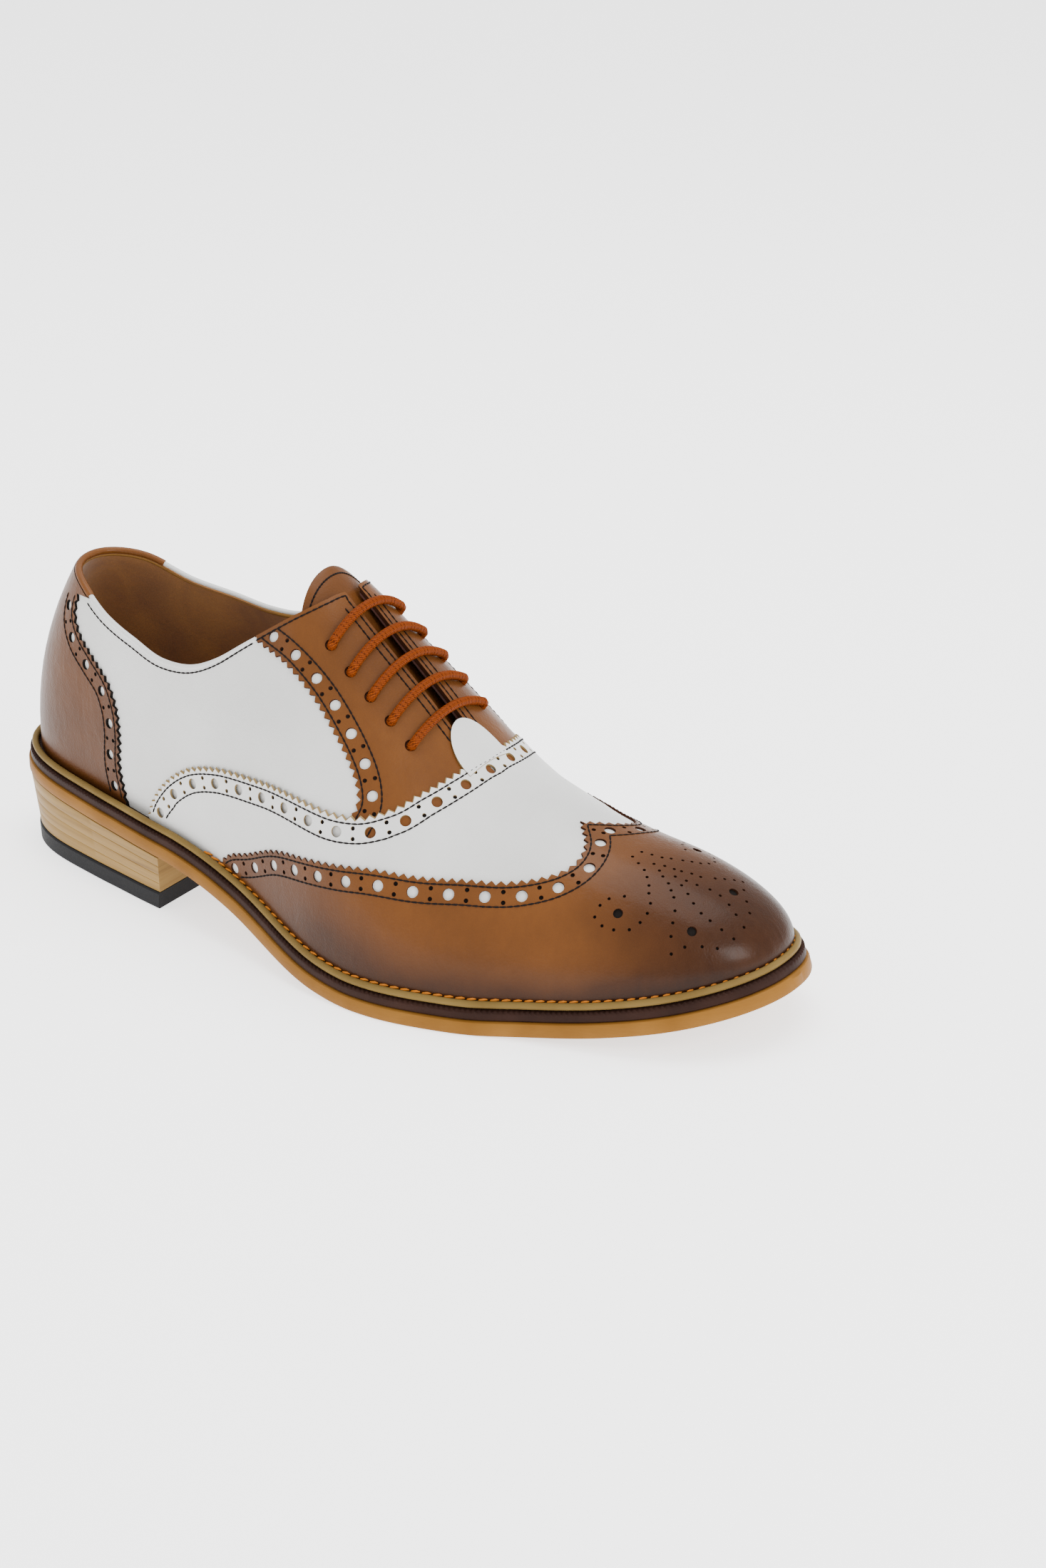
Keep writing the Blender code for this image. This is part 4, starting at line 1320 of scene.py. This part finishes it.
# Dots of one half in metres: along the toe from the outsole's back, and sideways from the middle line
MEDALLION_BIG = [(0.2573, 0.0192), (0.2778, 0.0102)]
MEDALLION_ROWS = [
    [(0.2494, 0.0016), (0.2524, 0.0029), (0.2553, 0.0045), (0.2578, 0.0062), (0.2600, 0.0080),
     (0.2620, 0.0101), (0.2640, 0.0121), (0.2651, 0.0146), (0.2647, 0.0176), (0.2624, 0.0204),
     (0.2586, 0.0226), (0.2546, 0.0235), (0.2519, 0.0227), (0.2512, 0.0203), (0.2528, 0.0175),
     (0.2561, 0.0147)],
    [(0.2560, 0.0000), (0.2587, 0.0012), (0.2612, 0.0024), (0.2636, 0.0036), (0.2660, 0.0049),
     (0.2682, 0.0064), (0.2709, 0.0095), (0.2725, 0.0124), (0.2740, 0.0150), (0.2754, 0.0174),
     (0.2783, 0.0142), (0.2820, 0.0108), (0.2852, 0.0080)],
    [(0.2636, 0.0000), (0.2668, 0.0012), (0.2700, 0.0026), (0.2733, 0.0040), (0.2766, 0.0048),
     (0.2801, 0.0044), (0.2836, 0.0036), (0.2870, 0.0026)],
]
MEDALLION_BIG_HOLE = 0.00150
MEDALLION_DOT = 0.00052
# Where on the crest sheet the dots are looked for, and how many places that is each way
TOE_START = 0.72
TOE_END_RUN = 0.999
TOE_OVER = 0.97
TOE_GRID = (150, 200)


def nearest_on_toe(spots):
    """Where on the crest sheet points seen from above lie."""
    runs = np.linspace(run_of(TOE_START), TOE_END_RUN, TOE_GRID[0]) * RUN_UNITS
    overs = np.linspace(-TOE_OVER, TOE_OVER, TOE_GRID[1]) * OVER_UNITS
    grid = np.array([(run, over) for run in runs for over in overs])
    placed = crest_sheet(grid, 0)
    return [grid[np.argmin((placed[:, 0] - x) ** 2 + (placed[:, 1] - y) ** 2)] for x, y in spots]


def medallion():
    (x0, y0), (x1, y1) = MEDALLION_AXIS
    turn = math.atan2(y1 - y0, x1 - x0)
    half = [(x, y, MEDALLION_BIG_HOLE) for x, y in MEDALLION_BIG]
    half += [(x, y, MEDALLION_DOT) for row in MEDALLION_ROWS for x, y in row]
    spots, sizes = [], []
    for x, y, radius in half:
        for way in ((-1, 1) if y > 0 else (1,)):
            ahead = x - x0
            spots.append((
                x0 + ahead * math.cos(turn) - way * y * math.sin(turn) - HEEL_CENTRE,
                y0 + ahead * math.sin(turn) + way * y * math.cos(turn),
            ))
            sizes.append(radius)
    return list(zip(nearest_on_toe(spots), sizes))


# %% Wing tip
WING_TOE_UNITS = RUN_UNITS * 0.9985


def make_wing_tip():
    edge = within(pinked(crest_sheet, WING_LINE, -1), EDGE_MARGIN)
    corners = [(edge[0][0], -OVER_UNITS), (WING_TOE_UNITS, -OVER_UNITS), (WING_TOE_UNITS, OVER_UNITS),
               (edge[-1][0], OVER_UNITS)]
    band = brogue_holes(crest_sheet, WING_LINE, -1)
    dots = medallion()
    holes = band + dots
    remember_hole_shade(crest_sheet, small_ones(band) + dots, WING[1])
    bm = flat_pattern(crest_sheet, [*edge[::-1], *corners], holes)
    obj = drawn_over("wing_tip_leather", crest_sheet, bm, *WING, BROWN_PIECE, "wing_tip")
    print("wing tip:", len(holes), "holes,", len(obj.data.polygons), "faces")


make_wing_tip()

# %% [markdown]
# ### Heel counter
# The counter is cut on the sheet that goes round the back. It narrows to a neck that climbs to the
# collar.

# %% Heel counter
# Distances in units of the sheet. Those of the edge and the rows are measured down from the collar.
COUNTER_LINE_TOP = 0.2
COUNTER_FOOT = 0.1
COUNTER_TEETH_TOP = 0.3
COUNTER_COLLAR_TOP = 0.4
COUNTER_HOLES_TOP = 3
COUNTER_ROW_TOP = 1
COUNTER_ROW_FOOT = 1
NECK_HEIGHT = 9
NECK_INSET = 2


def make_counter():
    top = top_rise(np.array([COUNTER_TOP]))[0] * OVER_UNITS
    edges, holes, rows = [], [], []
    for side in (-1, 1):
        line = on_heel_sheet(COUNTER_EDGE, side)
        line = np.concatenate([line, [(line[-1][0], top - COUNTER_LINE_TOP)]])
        teeth = pinked(heel_sheet, line, side)
        edges.append(teeth[(teeth[:, 1] > COUNTER_FOOT) & (teeth[:, 1] < top - COUNTER_TEETH_TOP)])
        band = brogue_holes(heel_sheet, line, side)
        holes += [hole for hole in band if hole[0][1] < top - COUNTER_HOLES_TOP]
        for distance in (BAND_FIRST_ROW, BAND_SECOND_ROW):
            rows.append(band_line(heel_sheet, line, side, distance))
    run = np.linspace(-run_of(COUNTER_TOP), run_of(COUNTER_TOP), BACK_STEPS)
    heights = top_rise(share_of(np.abs(run))) * OVER_UNITS - COUNTER_COLLAR_TOP
    collar = np.column_stack([run * RUN_UNITS, heights])
    outline = [*edges[0], *collar, *edges[1][::-1], (edges[1][0][0], 0), (edges[0][0][0], 0)]
    remember_hole_shade(heel_sheet, small_ones(holes), COUNTER[1])
    bm = flat_pattern(heel_sheet, outline, holes)
    obj = drawn_over("heel_counter_leather", heel_sheet, bm, *COUNTER, COUNTER_PIECE, "heel_counter")
    print("counter:", len(holes), "holes,", len(obj.data.polygons), "faces")
    neck = run_of(COUNTER_TOP) * RUN_UNITS - NECK_INSET
    kept = []
    for row in rows:
        in_neck = np.abs(row[:, 0]) < neck
        row = row[(row[:, 1] > COUNTER_ROW_FOOT) & ((row[:, 1] < top - NECK_HEIGHT) | in_neck)]
        kept.append((heel_sheet, row[row[:, 1] < top - COUNTER_ROW_TOP], COUNTER[0]))
    return kept


COUNTER_ROWS = make_counter()

# %% [markdown]
# ### Facings
# The two facings carry the eyelet holes. Their rear edge is pinked and brogued, their front edge has
# two rows of stitches beside the slit, and their feet run on under the vamp.

# %% Facings
FACING_UNDER = [
    (0.562, 0.340), (0.590, 0.345), (0.618, 0.430), (0.640, 0.530), (0.656, 0.660), (0.664, 0.800),
]
FACING_FOOT_END = 0.667
SLIT_STEPS = 48
SLIT_TOP_RISE = 0.985
FACING_COLLAR_DROP = 0.003
ROW_COLLAR_DROP = 0.012
COLLAR_TO_SLIT = 0.475
SLIT_ROWS = (0.0014, 0.0042)
EYELET_COUNT = 5
EYELET_START = 0.1475
EYELET_PITCH = 0.0083
EYELET_RISE = 0.755
EYELET_RADIUS = 0.0019


def eyelet_share(index):
    return (EYELET_START + index * EYELET_PITCH) / SOLE_LENGTH


def below_collar(line, drop):
    """The part of a line on the crest sheet that stays under the collar by a drop in rise."""
    rise = 1 - np.abs(line[:, 1]) / OVER_UNITS
    return line[rise < top_rise(share_of(line[:, 0] / RUN_UNITS)) - drop]


def make_facing(name, side, node):
    edge = below_collar(on_crest_sheet(FACING_EDGE, side), FACING_COLLAR_DROP)
    teeth = pinked(crest_sheet, edge, -side)
    hidden = on_crest_sheet(FACING_UNDER, side)[20::24]
    shares = share_of(np.linspace(run_of(FACING_FOOT_END), run_of(FACING_TOP), SLIT_STEPS))
    tops = np.minimum(top_rise(shares), SLIT_TOP_RISE)
    slit = np.column_stack([run_of(shares) * RUN_UNITS, side * (1 - tops) * OVER_UNITS])
    holes = brogue_holes(crest_sheet, edge, -side)
    remember_hole_shade(crest_sheet, small_ones(holes), FACING[1])
    for index in range(EYELET_COUNT):
        centre = (run_of(eyelet_share(index)) * RUN_UNITS, side * (1 - EYELET_RISE) * OVER_UNITS)
        holes.append((np.array(centre), EYELET_RADIUS))
    bm = flat_pattern(crest_sheet, [*teeth, *hidden, *slit], holes)
    obj = drawn_over(name, crest_sheet, bm, *FACING, BROWN_PIECE, node)
    front = share_of(slit[:, 0] / RUN_UNITS)
    rows = [below_collar(band_line(crest_sheet, edge, -side, distance), ROW_COLLAR_DROP)
            for distance in (BAND_FIRST_ROW, BAND_SECOND_ROW)]
    for distance, start in zip(SLIT_ROWS, (0, COLLAR_TO_SLIT)):
        rows.append(shifted(crest_sheet, slit[(front < SLIT_END) & (front > start)], -side * distance))
    print(name, len(holes), "holes,", len(obj.data.polygons), "faces")
    return [(crest_sheet, row, FACING[0]) for row in rows]


FACING_ROWS = make_facing("facing_outer", -1, "facing_lateral")
FACING_ROWS += make_facing("facing_inner", 1, "facing_medial")

# %% [markdown]
# ### Lace tab
# The half-round tab closes the foot of the slit. It is white, with a plain cut edge.

# %% Lace tab
TAB_BASE = 0.648
TAB_TOP = 0.608
TAB_HALF_WIDTH = 0.0092
TAB_CORNER_POWER = 0.8
TAB_GRID_UNITS = 1.6


def tab_line():
    """The half circle of the tab on the sheet."""
    turns = np.linspace(0, math.pi, 41)
    base = run_of(TAB_BASE) * RUN_UNITS
    reach = (run_of(TAB_BASE) - run_of(TAB_TOP)) * RUN_UNITS
    half = TAB_HALF_WIDTH / math.sqrt(leather_metric(crest_sheet, np.array([(base, 0.5)]))[2][0])
    return np.column_stack([base - reach * np.sin(turns) ** TAB_CORNER_POWER, -half * np.cos(turns)])


def make_tab():
    bm = flat_pattern(crest_sheet, [*tab_line()], [], grid=TAB_GRID_UNITS)
    obj = drawn_over("lace_tab_leather", crest_sheet, bm, *TAB, WHITE_PIECE, "lace_tab")


make_tab()

# %% [markdown]
# ### Tongue
# The tongue is padded brown leather. It follows the inside of the slit and ends above the facings in a
# rounded top with a stitched edge.

# %% Tongue
TONGUE_ROW = 0.045
TONGUE_START = 0.432
TONGUE_END = 0.640
TONGUE_LOW_RISE = 0.700
TONGUE_DEPTH = 0.0062
TONGUE_WALL = 0.0020
TONGUE_TOP_LIFT = 0.0050
TONGUE_LIFTED = 0.42
TONGUE_ROUND = 0.012
TONGUE_ROUNDED = 0.3
TONGUE_GRID = (46, 28)
TONGUE_BURNISH = 0.30
TONGUE_RIM = 0.0006
TONGUE_LIFT_POWER = 1.5
TONGUE_ROW_END = 0.9
TONGUE_ROW_STEPS = 30


def tongue_point(flat, depth):
    """The tongue's own sheet: share along it, and over from -1 to 1 across it."""
    share = TONGUE_START + flat[:, 0] * (TONGUE_END - TONGUE_START)
    over = flat[:, 1]
    side = np.where(over < 0, -1.0, 1.0)
    lift = TONGUE_TOP_LIFT * np.clip(1 - flat[:, 0] / TONGUE_LIFTED, 0, 1) ** TONGUE_LIFT_POWER
    rounding = TONGUE_ROUND * np.abs(over) ** 3 * np.clip(1 - flat[:, 0] / TONGUE_ROUNDED, 0, 1)
    rise = 1 - (1 - TONGUE_LOW_RISE) * np.abs(over)
    return last_point(share + rounding, side, rise, depth + TONGUE_DEPTH - lift)


def make_tongue():
    bm = bmesh.new()
    index_layer = bm.verts.layers.int.new("spot")
    verts, flat = unit_grid(bm, *TONGUE_GRID)
    flat[:, 1] = flat[:, 1] * 2 - 1
    lower = tongue_point(flat, TONGUE_WALL)
    for index, (vert, point) in enumerate(zip(verts, tongue_point(flat, 0))):
        vert.co = point
        vert[index_layer] = index
    bmesh.ops.recalc_face_normals(bm, faces=bm.faces)
    for vert in extruded(bm, bm.faces[:])[1]:
        vert.co = lower[vert[index_layer]]
    bmesh.ops.recalc_face_normals(bm, faces=bm.faces)
    mesh = finished_mesh("tongue_leather", bm)
    set_points(mesh, "burnish", np.full(len(mesh.vertices), TONGUE_BURNISH))
    obj = dressed("tongue_leather", mesh, ["brown"], "tongue")
    rim = obj.modifiers.new("rounded rim", "BEVEL")
    rim.width = TONGUE_RIM
    rim.segments = 2


def sew_tongue():
    over = np.linspace(-TONGUE_ROW_END, TONGUE_ROW_END, TONGUE_ROW_STEPS)
    spots = tongue_point(np.column_stack([np.full(len(over), TONGUE_ROW), over]), 0)
    bm = bmesh.new()
    for start, end in zip(spots[:-1], spots[1:]):
        lay_stitch(bm, Vector(start), Vector(end), UP, THREAD_RADIUS)
    mesh = finished_mesh("tongue_stitches", bm)
    dressed("tongue_stitches", mesh, ["black thread"], "tongue")


make_tongue()
sew_tongue()

# %% [markdown]
# ### Stitch rows
# Black thread frames every brogue band and follows the collar and the slit. The rows on the vamp and the
# wing tip keep the same distances as their holes.

# %% Black stitches
COLLAR_ROW_INSET = 0.002
COLLAR_ROW_DROP = 0.012
COLLAR_ROW_STEPS = 90
BEAD_MARGIN = 2.0


def collar_row(side):
    """A row just under the collar, on the crest sheet."""
    start, end = run_of(COUNTER_TOP + COLLAR_ROW_INSET), run_of(FACING_TOP - COLLAR_ROW_INSET)
    share = share_of(np.linspace(start, end, COLLAR_ROW_STEPS))
    rise = top_rise(share) - COLLAR_ROW_DROP
    return np.column_stack([run_of(share) * RUN_UNITS, side * (1 - rise) * OVER_UNITS])


def sew_black():
    rows = COUNTER_ROWS + FACING_ROWS
    for distance in (BAND_FIRST_ROW, BAND_SECOND_ROW):
        for line, layer in ((VAMP_LINE, VAMP), (WING_LINE, WING)):
            row = within(band_line(crest_sheet, line, -1, distance), BEAD_MARGIN)
            rows.append((crest_sheet, row, layer[0]))
    rows += [(crest_sheet, collar_row(side), SHELL[0]) for side in (-1, 1)]
    sew("black_stitches", rows, "black thread", "upper")


sew_black()
# Dark plugs of painted shade in the small holes
make_hole_shade_plugs()

# %% [markdown]
# ## Sole and heel
# The sole is built up from rings: an outline of the sole at some inset and height, lofted to the next
# one. A ring is closed over both ends of the shoe. The welt has the serrated marks of a fudge wheel
# pressed into its upper rim: its height goes up and down along the way round.

# %% Rings of the sole
SOLE_COLUMNS = 260
HEEL_COLUMNS = 70
RUBBER_COLUMNS = 60
RING_WELD = 0.000002


def sole_ring(inset, lift):
    return lambda u, side: sole_point(share_of(u), side, inset, lift)


def heel_ring(inset, height):
    """An outline of the heel with its breast: height 0 to 1 goes up the stack, -1 to 0 up the top piece."""

    def ring(u, side):
        share = (1 - np.cos(math.pi * u / 2)) * (HEEL_LENGTH - inset) / (SOLE_LENGTH - 2 * inset)
        points = sole_point(share, side, inset, 0)
        x = points[:, 0] + HEEL_CENTRE
        roof = underside(x) - CLEARANCE
        floor = TOP_PIECE_THICKNESS + CLEARANCE
        level = roof * height + floor * (1 - height) if height >= 0 else (1 + height) * TOP_PIECE_THICKNESS
        drop = 1 - level / HEEL_BREAST_HEIGHT
        points[:, 0] -= BREAST_RAKE * np.clip(drop, 0, 1) * x / HEEL_LENGTH
        points[:, 2] = level
        return points

    return ring


def ringed(name, rings, columns, finish, node, sharp=35):
    """A closed solid between rings, from the lowest to the highest, with its lid and its floor."""
    loop = [(ring, 1) for ring in rings] + [(ring, -1) for ring in reversed(rings)]
    bm = bmesh.new()
    verts, flat = unit_grid(bm, columns, len(loop))
    step = np.rint(flat[:, 1] * len(loop)).astype(int) % len(loop)
    points = np.zeros((len(flat), 3))
    for index, (ring, side) in enumerate(loop):
        chosen = step == index
        points[chosen] = ring(flat[chosen, 0], side)
    for vert, point in zip(verts, points):
        vert.co = point
    bmesh.ops.remove_doubles(bm, verts=bm.verts, dist=RING_WELD)
    open_edges = [edge for edge in bm.edges if edge.is_boundary]
    if open_edges:
        bmesh.ops.holes_fill(bm, edges=open_edges)
    bmesh.ops.recalc_face_normals(bm, faces=bm.faces)
    mesh = finished_mesh(name, bm)
    obj = dressed(name, mesh, [finish], node)
    mesh.set_sharp_from_angle(angle=math.radians(sharp))
    return obj


# %% Top piece, heel stack and outsole
LIFT_COUNT = 4
LIFT_GROOVE = 0.00012
LIFT_JOINT = 0.012
RUBBER_BEVEL = 0.0005
RUBBER_LID_INSET = 0.0004
LID_DROP = 0.0001
SOLE_ROUNDING = 0.0009
SOLE_BEND = SOLE_ROUNDING * 0.3


def make_heel():
    bevel = RUBBER_BEVEL / TOP_PIECE_THICKNESS
    rubber = ringed("heel_rubber", [
        heel_ring(HEEL_TAPER + RUBBER_BEVEL, -1),
        heel_ring(HEEL_TAPER, -1 + bevel),
        heel_ring(HEEL_TAPER, -bevel),
        heel_ring(HEEL_TAPER + RUBBER_LID_INSET, -LID_DROP),
    ], RUBBER_COLUMNS, "rubber", "top_piece")
    rings = []
    for lift in range(LIFT_COUNT):
        low = lift / LIFT_COUNT
        high = (lift + 1) / LIFT_COUNT
        levels = ((low, LIFT_GROOVE), (low + LIFT_JOINT, 0), (high - LIFT_JOINT, 0), (high, LIFT_GROOVE))
        for height, groove in levels:
            inset = HEEL_STEP_IN + HEEL_TAPER * (1 - height) + groove
            if not rings or height > low:
                rings.append(heel_ring(inset, height))
    stack = ringed("heel_stack", rings, HEEL_COLUMNS, "wood", "heel_block")


def make_outsole():
    rings = [
        sole_ring(SOLE_ROUNDING, 0),
        sole_ring(SOLE_BEND, SOLE_BEND),
        sole_ring(0, SOLE_ROUNDING),
        sole_ring(0, OUTSOLE_THICKNESS - SOLE_ROUNDING),
        sole_ring(SOLE_BEND, OUTSOLE_THICKNESS - SOLE_BEND),
        sole_ring(SOLE_ROUNDING, OUTSOLE_THICKNESS),
    ]
    sole = ringed("outsole_leather", rings, SOLE_COLUMNS, "sole edge", "outsole")


make_heel()
make_outsole()


# %% Welt with its wheel marks
WELT_COLUMNS = 900
WELT_SHARP = 60
WHEEL_PITCH = 0.0017
FINE_STEPS = 2400


def wheeled_ring(inset, lift, mark):
    """A ring whose height ripples along the welt. mark is how deep the wheel pressed, in metres."""

    def ring(u, side):
        points = sole_point(share_of(u), side, inset, lift)
        fine = np.linspace(0, 1, FINE_STEPS)
        way = np.interp(u, fine, walked_along(sole_point(share_of(fine), side, inset, lift)))
        points[:, 2] -= mark * (0.5 - 0.5 * np.cos(2 * math.pi * way / WHEEL_PITCH))
        return points

    return ring


# Rings from the foot of the welt to its rim: inset beyond the welt's own, the end of the welt that the
# lift is counted from, that lift, and how deep the wheel presses there
WELT_RINGS = [
    (0.0003, "foot", 0.0, 0.0),
    (0.0, "foot", 0.0004, 0.0),
    (0.0, "top", -0.0012, 0.0),
    (0.0, "top", -0.0005, 0.00035),
    (0.0005, "top", 0.0, 0.00055),
    (0.0014, "top", 0.0, 0.00040),
    (0.0019, "top", 0.0, 0.0),
]


def make_welt():
    level = {"foot": OUTSOLE_THICKNESS + CLEARANCE, "top": UPPER_LIFT - CLEARANCE}
    rings = []
    for inset, end, lift, mark in WELT_RINGS:
        place = (WELT_INSET + inset, level[end] + lift)
        rings.append(wheeled_ring(*place, mark) if mark else sole_ring(*place))
    welt = ringed("welt_leather", rings, WELT_COLUMNS, "welt", "welt", sharp=WELT_SHARP)


make_welt()

# %% [markdown]
# ### Bead and its thread
# A beige bead stands on the welt against the upper, all the way round. In the forepart a gold lockstitch
# lies in the groove between the bead and the leather, each stitch leaning like the strand of a rope.

# %% Bead
WING_THICKNESS = 0.0013
BEAD_INSET = UPPER_MARGIN - CLEARANCE - WING_THICKNESS - CLEARANCE - BEAD_RADIUS
BEAD_SINK = 0.0002
BEAD_STEPS = 260
BEAD_SIDES = 12


def loop_round(inset, lift, start, end, steps):
    """A line from a share on the outer side, over the toe, to the same share on the inner side."""
    u = np.linspace(run_of(start), run_of(end), steps)
    outer = sole_point(share_of(u), -1, inset, lift)
    inner = sole_point(share_of(u[::-1][1:]), 1, inset, lift)
    return np.concatenate([outer, inner])


def make_bead():
    line = loop_round(BEAD_INSET, UPPER_LIFT + BEAD_RADIUS - BEAD_SINK, 0, 1, BEAD_STEPS)[:-1]
    bead = make_tube("bead", line, BEAD_RADIUS, "bead", "rand", cyclic=True, sides=BEAD_SIDES)


GOLD_PITCH = 0.0036
GOLD_RADIUS = 0.00046
GOLD_START = 0.34
GOLD_LEAN = 0.0005
GOLD_INSET = BEAD_INSET + 0.00105
GOLD_LIFT = UPPER_LIFT + 0.0021
GOLD_STEPS = 400


def make_gold_stitches():
    line = loop_round(GOLD_INSET, GOLD_LIFT, GOLD_START, 1, GOLD_STEPS)
    walked = walked_along(line)
    count = int(walked[-1] / GOLD_PITCH)
    at = np.linspace(0, walked[-1], count + 1)
    points = np.column_stack([np.interp(at, walked, line[:, axis]) for axis in range(3)])
    bm = bmesh.new()
    for start, end in zip(points[:-1], points[1:]):
        lean = Vector(end - start).normalized().cross(UP).normalized() * GOLD_LEAN
        lay_stitch(bm, Vector(start) + lean, Vector(end) - lean, UP, GOLD_RADIUS)
    obj = dressed("gold_stitches", finished_mesh("gold_stitches", bm), ["gold thread"], "rand")
    print("gold stitches:", count)


make_bead()
make_gold_stitches()

# %% [markdown]
# ### Insole
# The insole lies inside on the sole. A thin sock of the lining leather covers it, slightly dished under
# the heel.

# %% Insole
DISH_DEPTH = 0.0006
DISH_PLACE = 0.14
DISH_REACH = 0.09
SOCK_COLUMNS = 120
SOCK_EDGE = 0.0006
SOCK_INSET = 0.0008


def dished_ring(inset, lift):
    def ring(u, side):
        share = share_of(u)
        points = sole_point(share, side, inset, lift)
        points[:, 2] -= DISH_DEPTH * np.exp(-((share - DISH_PLACE) / DISH_REACH) ** 2)
        return points

    return ring


def make_insole():
    inner = UPPER_MARGIN + UPPER_WALL + CLEARANCE
    top = UPPER_LIFT + INSOLE_THICKNESS
    rings = [
        sole_ring(inner, UPPER_LIFT),
        sole_ring(inner, top - SOCK_EDGE),
        dished_ring(inner + SOCK_INSET, top),
    ]
    ringed("insole_sock", rings, SOCK_COLUMNS, "mustard", "insole")


make_insole()

# %% [markdown]
# ## Laces
# One waxed round lace runs through the ten eyelets in straight bars. Its path is the one of the solids:
# over a bar, in through the facing, along to the next eyelet of that side, and out again. The braid is
# modelled: two sets of strands wind round the cord in opposite ways, and the radius rises where one
# passes over the other.

# %% Path of the lace
LACE_RADIUS = 0.00155
LACE_BEND = 0.0016
LACE_OVER = 0.00065 + LACE_RADIUS
LACE_UNDER = UPPER_WALL + 0.0009 + LACE_RADIUS
HIDDEN_RUN_RISE = 0.680
LACE_CORNER = ((1, 0), (0.293, 0.293), (0, 1))
LACE_BAR_POINTS = 6
HIDDEN_RUN_POINTS = 8
BAR_START = 2.4
EYELET_NORMAL_STEP = 0.002


def girth_at(share):
    """Length of one half of a rib, from the feather to the crest."""
    return walked_along(last_point(np.full(25, share), -1, np.linspace(0, 1, 25), 0))[-1]


def normal_at(share, side, rise):
    step = EYELET_NORMAL_STEP
    ahead = last_point(share + step, side, rise, 0) - last_point(share - step, side, rise, 0)
    upward = last_point(share, side, rise + step, 0) - last_point(share, side, rise - step, 0)
    across = side * np.cross(upward, ahead)
    return across / np.linalg.norm(across)


def above(share, side, rise, height):
    return last_point(share, side, rise, 0) + height * normal_at(share, side, rise)


def through_eyelet(index, side, run_share, run_rise):
    """From the hidden run inside, up through an eyelet and over its rim."""
    share = eyelet_share(index)
    over_crest = LACE_BEND / girth_at(share)
    points = [above(share + run_share * out, side, EYELET_RISE + run_rise * out, LACE_BEND * up - LACE_UNDER)
              for out, up in LACE_CORNER]
    points += [above(share, side, EYELET_RISE + over_crest * out, LACE_OVER - LACE_BEND * up)
               for out, up in reversed(LACE_CORNER)]
    return points


def lace_path():
    step = LACE_BEND / SOLE_LENGTH
    sideways = LACE_BEND / girth_at(eyelet_share(0))
    path = [above(eyelet_share(0) - 4 * step, -1, EYELET_RISE, -LACE_UNDER)]
    for index in range(EYELET_COUNT):
        side = -1 if index % 2 == 0 else 1
        last = index == EYELET_COUNT - 1
        path += through_eyelet(index, side, -step, 0)
        bar = np.linspace(EYELET_RISE + BAR_START * sideways, 1, LACE_BAR_POINTS)
        path += [above(eyelet_share(index), side, rise, LACE_OVER) for rise in bar]
        path += [above(eyelet_share(index), -side, rise, LACE_OVER) for rise in bar[-2::-1]]
        path += reversed(through_eyelet(index, -side, 0 if last else step, -sideways if last else 0))
    start, end = eyelet_share(EYELET_COUNT - 1) - 3 * step, eyelet_share(0) - 2 * step
    path += [above(share, -side, HIDDEN_RUN_RISE, -LACE_UNDER)
             for share in np.linspace(start, end, HIDDEN_RUN_POINTS)]
    return np.array(path)


# %% Braided cord
BRAID_STEP = 0.00030
BRAID_SIDES = 24
BRAID_STRANDS = 8
BRAID_PITCH = 0.0062
BRAID_RELIEF = 0.00030
BRAID_ROUNDNESS = 0.7
BRAID_WELD = 0.000001


def make_lace():
    path = lace_path()
    walked = walked_along(path)
    table = np.column_stack([walked, path])
    at = np.linspace(0, walked[-1], int(walked[-1] / BRAID_STEP))
    line = np.column_stack([along(table, column, at) for column in (1, 2, 3)])
    tangent = np.gradient(line, axis=0)
    tangent /= np.linalg.norm(tangent, axis=1, keepdims=True)
    bm = bmesh.new()
    # The braid's height is kept for the finish, which paints shade into the hollows
    braid_shade = bm.verts.layers.float.new("braid_shade")
    verts, flat = unit_grid(bm, len(line) - 1, BRAID_SIDES)
    step = np.rint(flat[:, 0] * (len(line) - 1)).astype(int)
    turn = flat[:, 1] * 2 * math.pi
    frames = carried_frames(tangent)
    phase = 2 * math.pi * at[step] / BRAID_PITCH
    weave = np.cos(BRAID_STRANDS / 2 * (turn + phase)) * np.cos(BRAID_STRANDS / 2 * (turn - phase))
    height = np.abs(weave) ** BRAID_ROUNDNESS
    radius = LACE_RADIUS - BRAID_RELIEF + BRAID_RELIEF * height
    ring = np.cos(turn)[:, None] * frames[0][step] + np.sin(turn)[:, None] * frames[1][step]
    for vert, point, value in zip(verts, line[step] + ring * radius[:, None], height):
        vert.co = point
        vert[braid_shade] = value
    bmesh.ops.remove_doubles(bm, verts=bm.verts, dist=BRAID_WELD)
    bmesh.ops.holes_fill(bm, edges=[edge for edge in bm.edges if edge.is_boundary])
    bmesh.ops.recalc_face_normals(bm, faces=bm.faces)
    mesh = finished_mesh("braided_lace", bm)
    dressed("braided_lace", mesh, ["lace"], "lace")
    print("lace length in metres:", round(float(walked[-1]), 3), "faces:", len(mesh.polygons))


def carried_frames(tangent):
    """Two directions across the cord, carried along it without twist."""
    first = np.zeros_like(tangent)
    start = np.cross(tangent[0], (0, 0, 1.0))
    first[0] = start / np.linalg.norm(start)
    for index in range(1, len(tangent)):
        moved = first[index - 1] - tangent[index] * first[index - 1].dot(tangent[index])
        first[index] = moved / np.linalg.norm(moved)
    return first, np.cross(tangent, first)


make_lace()
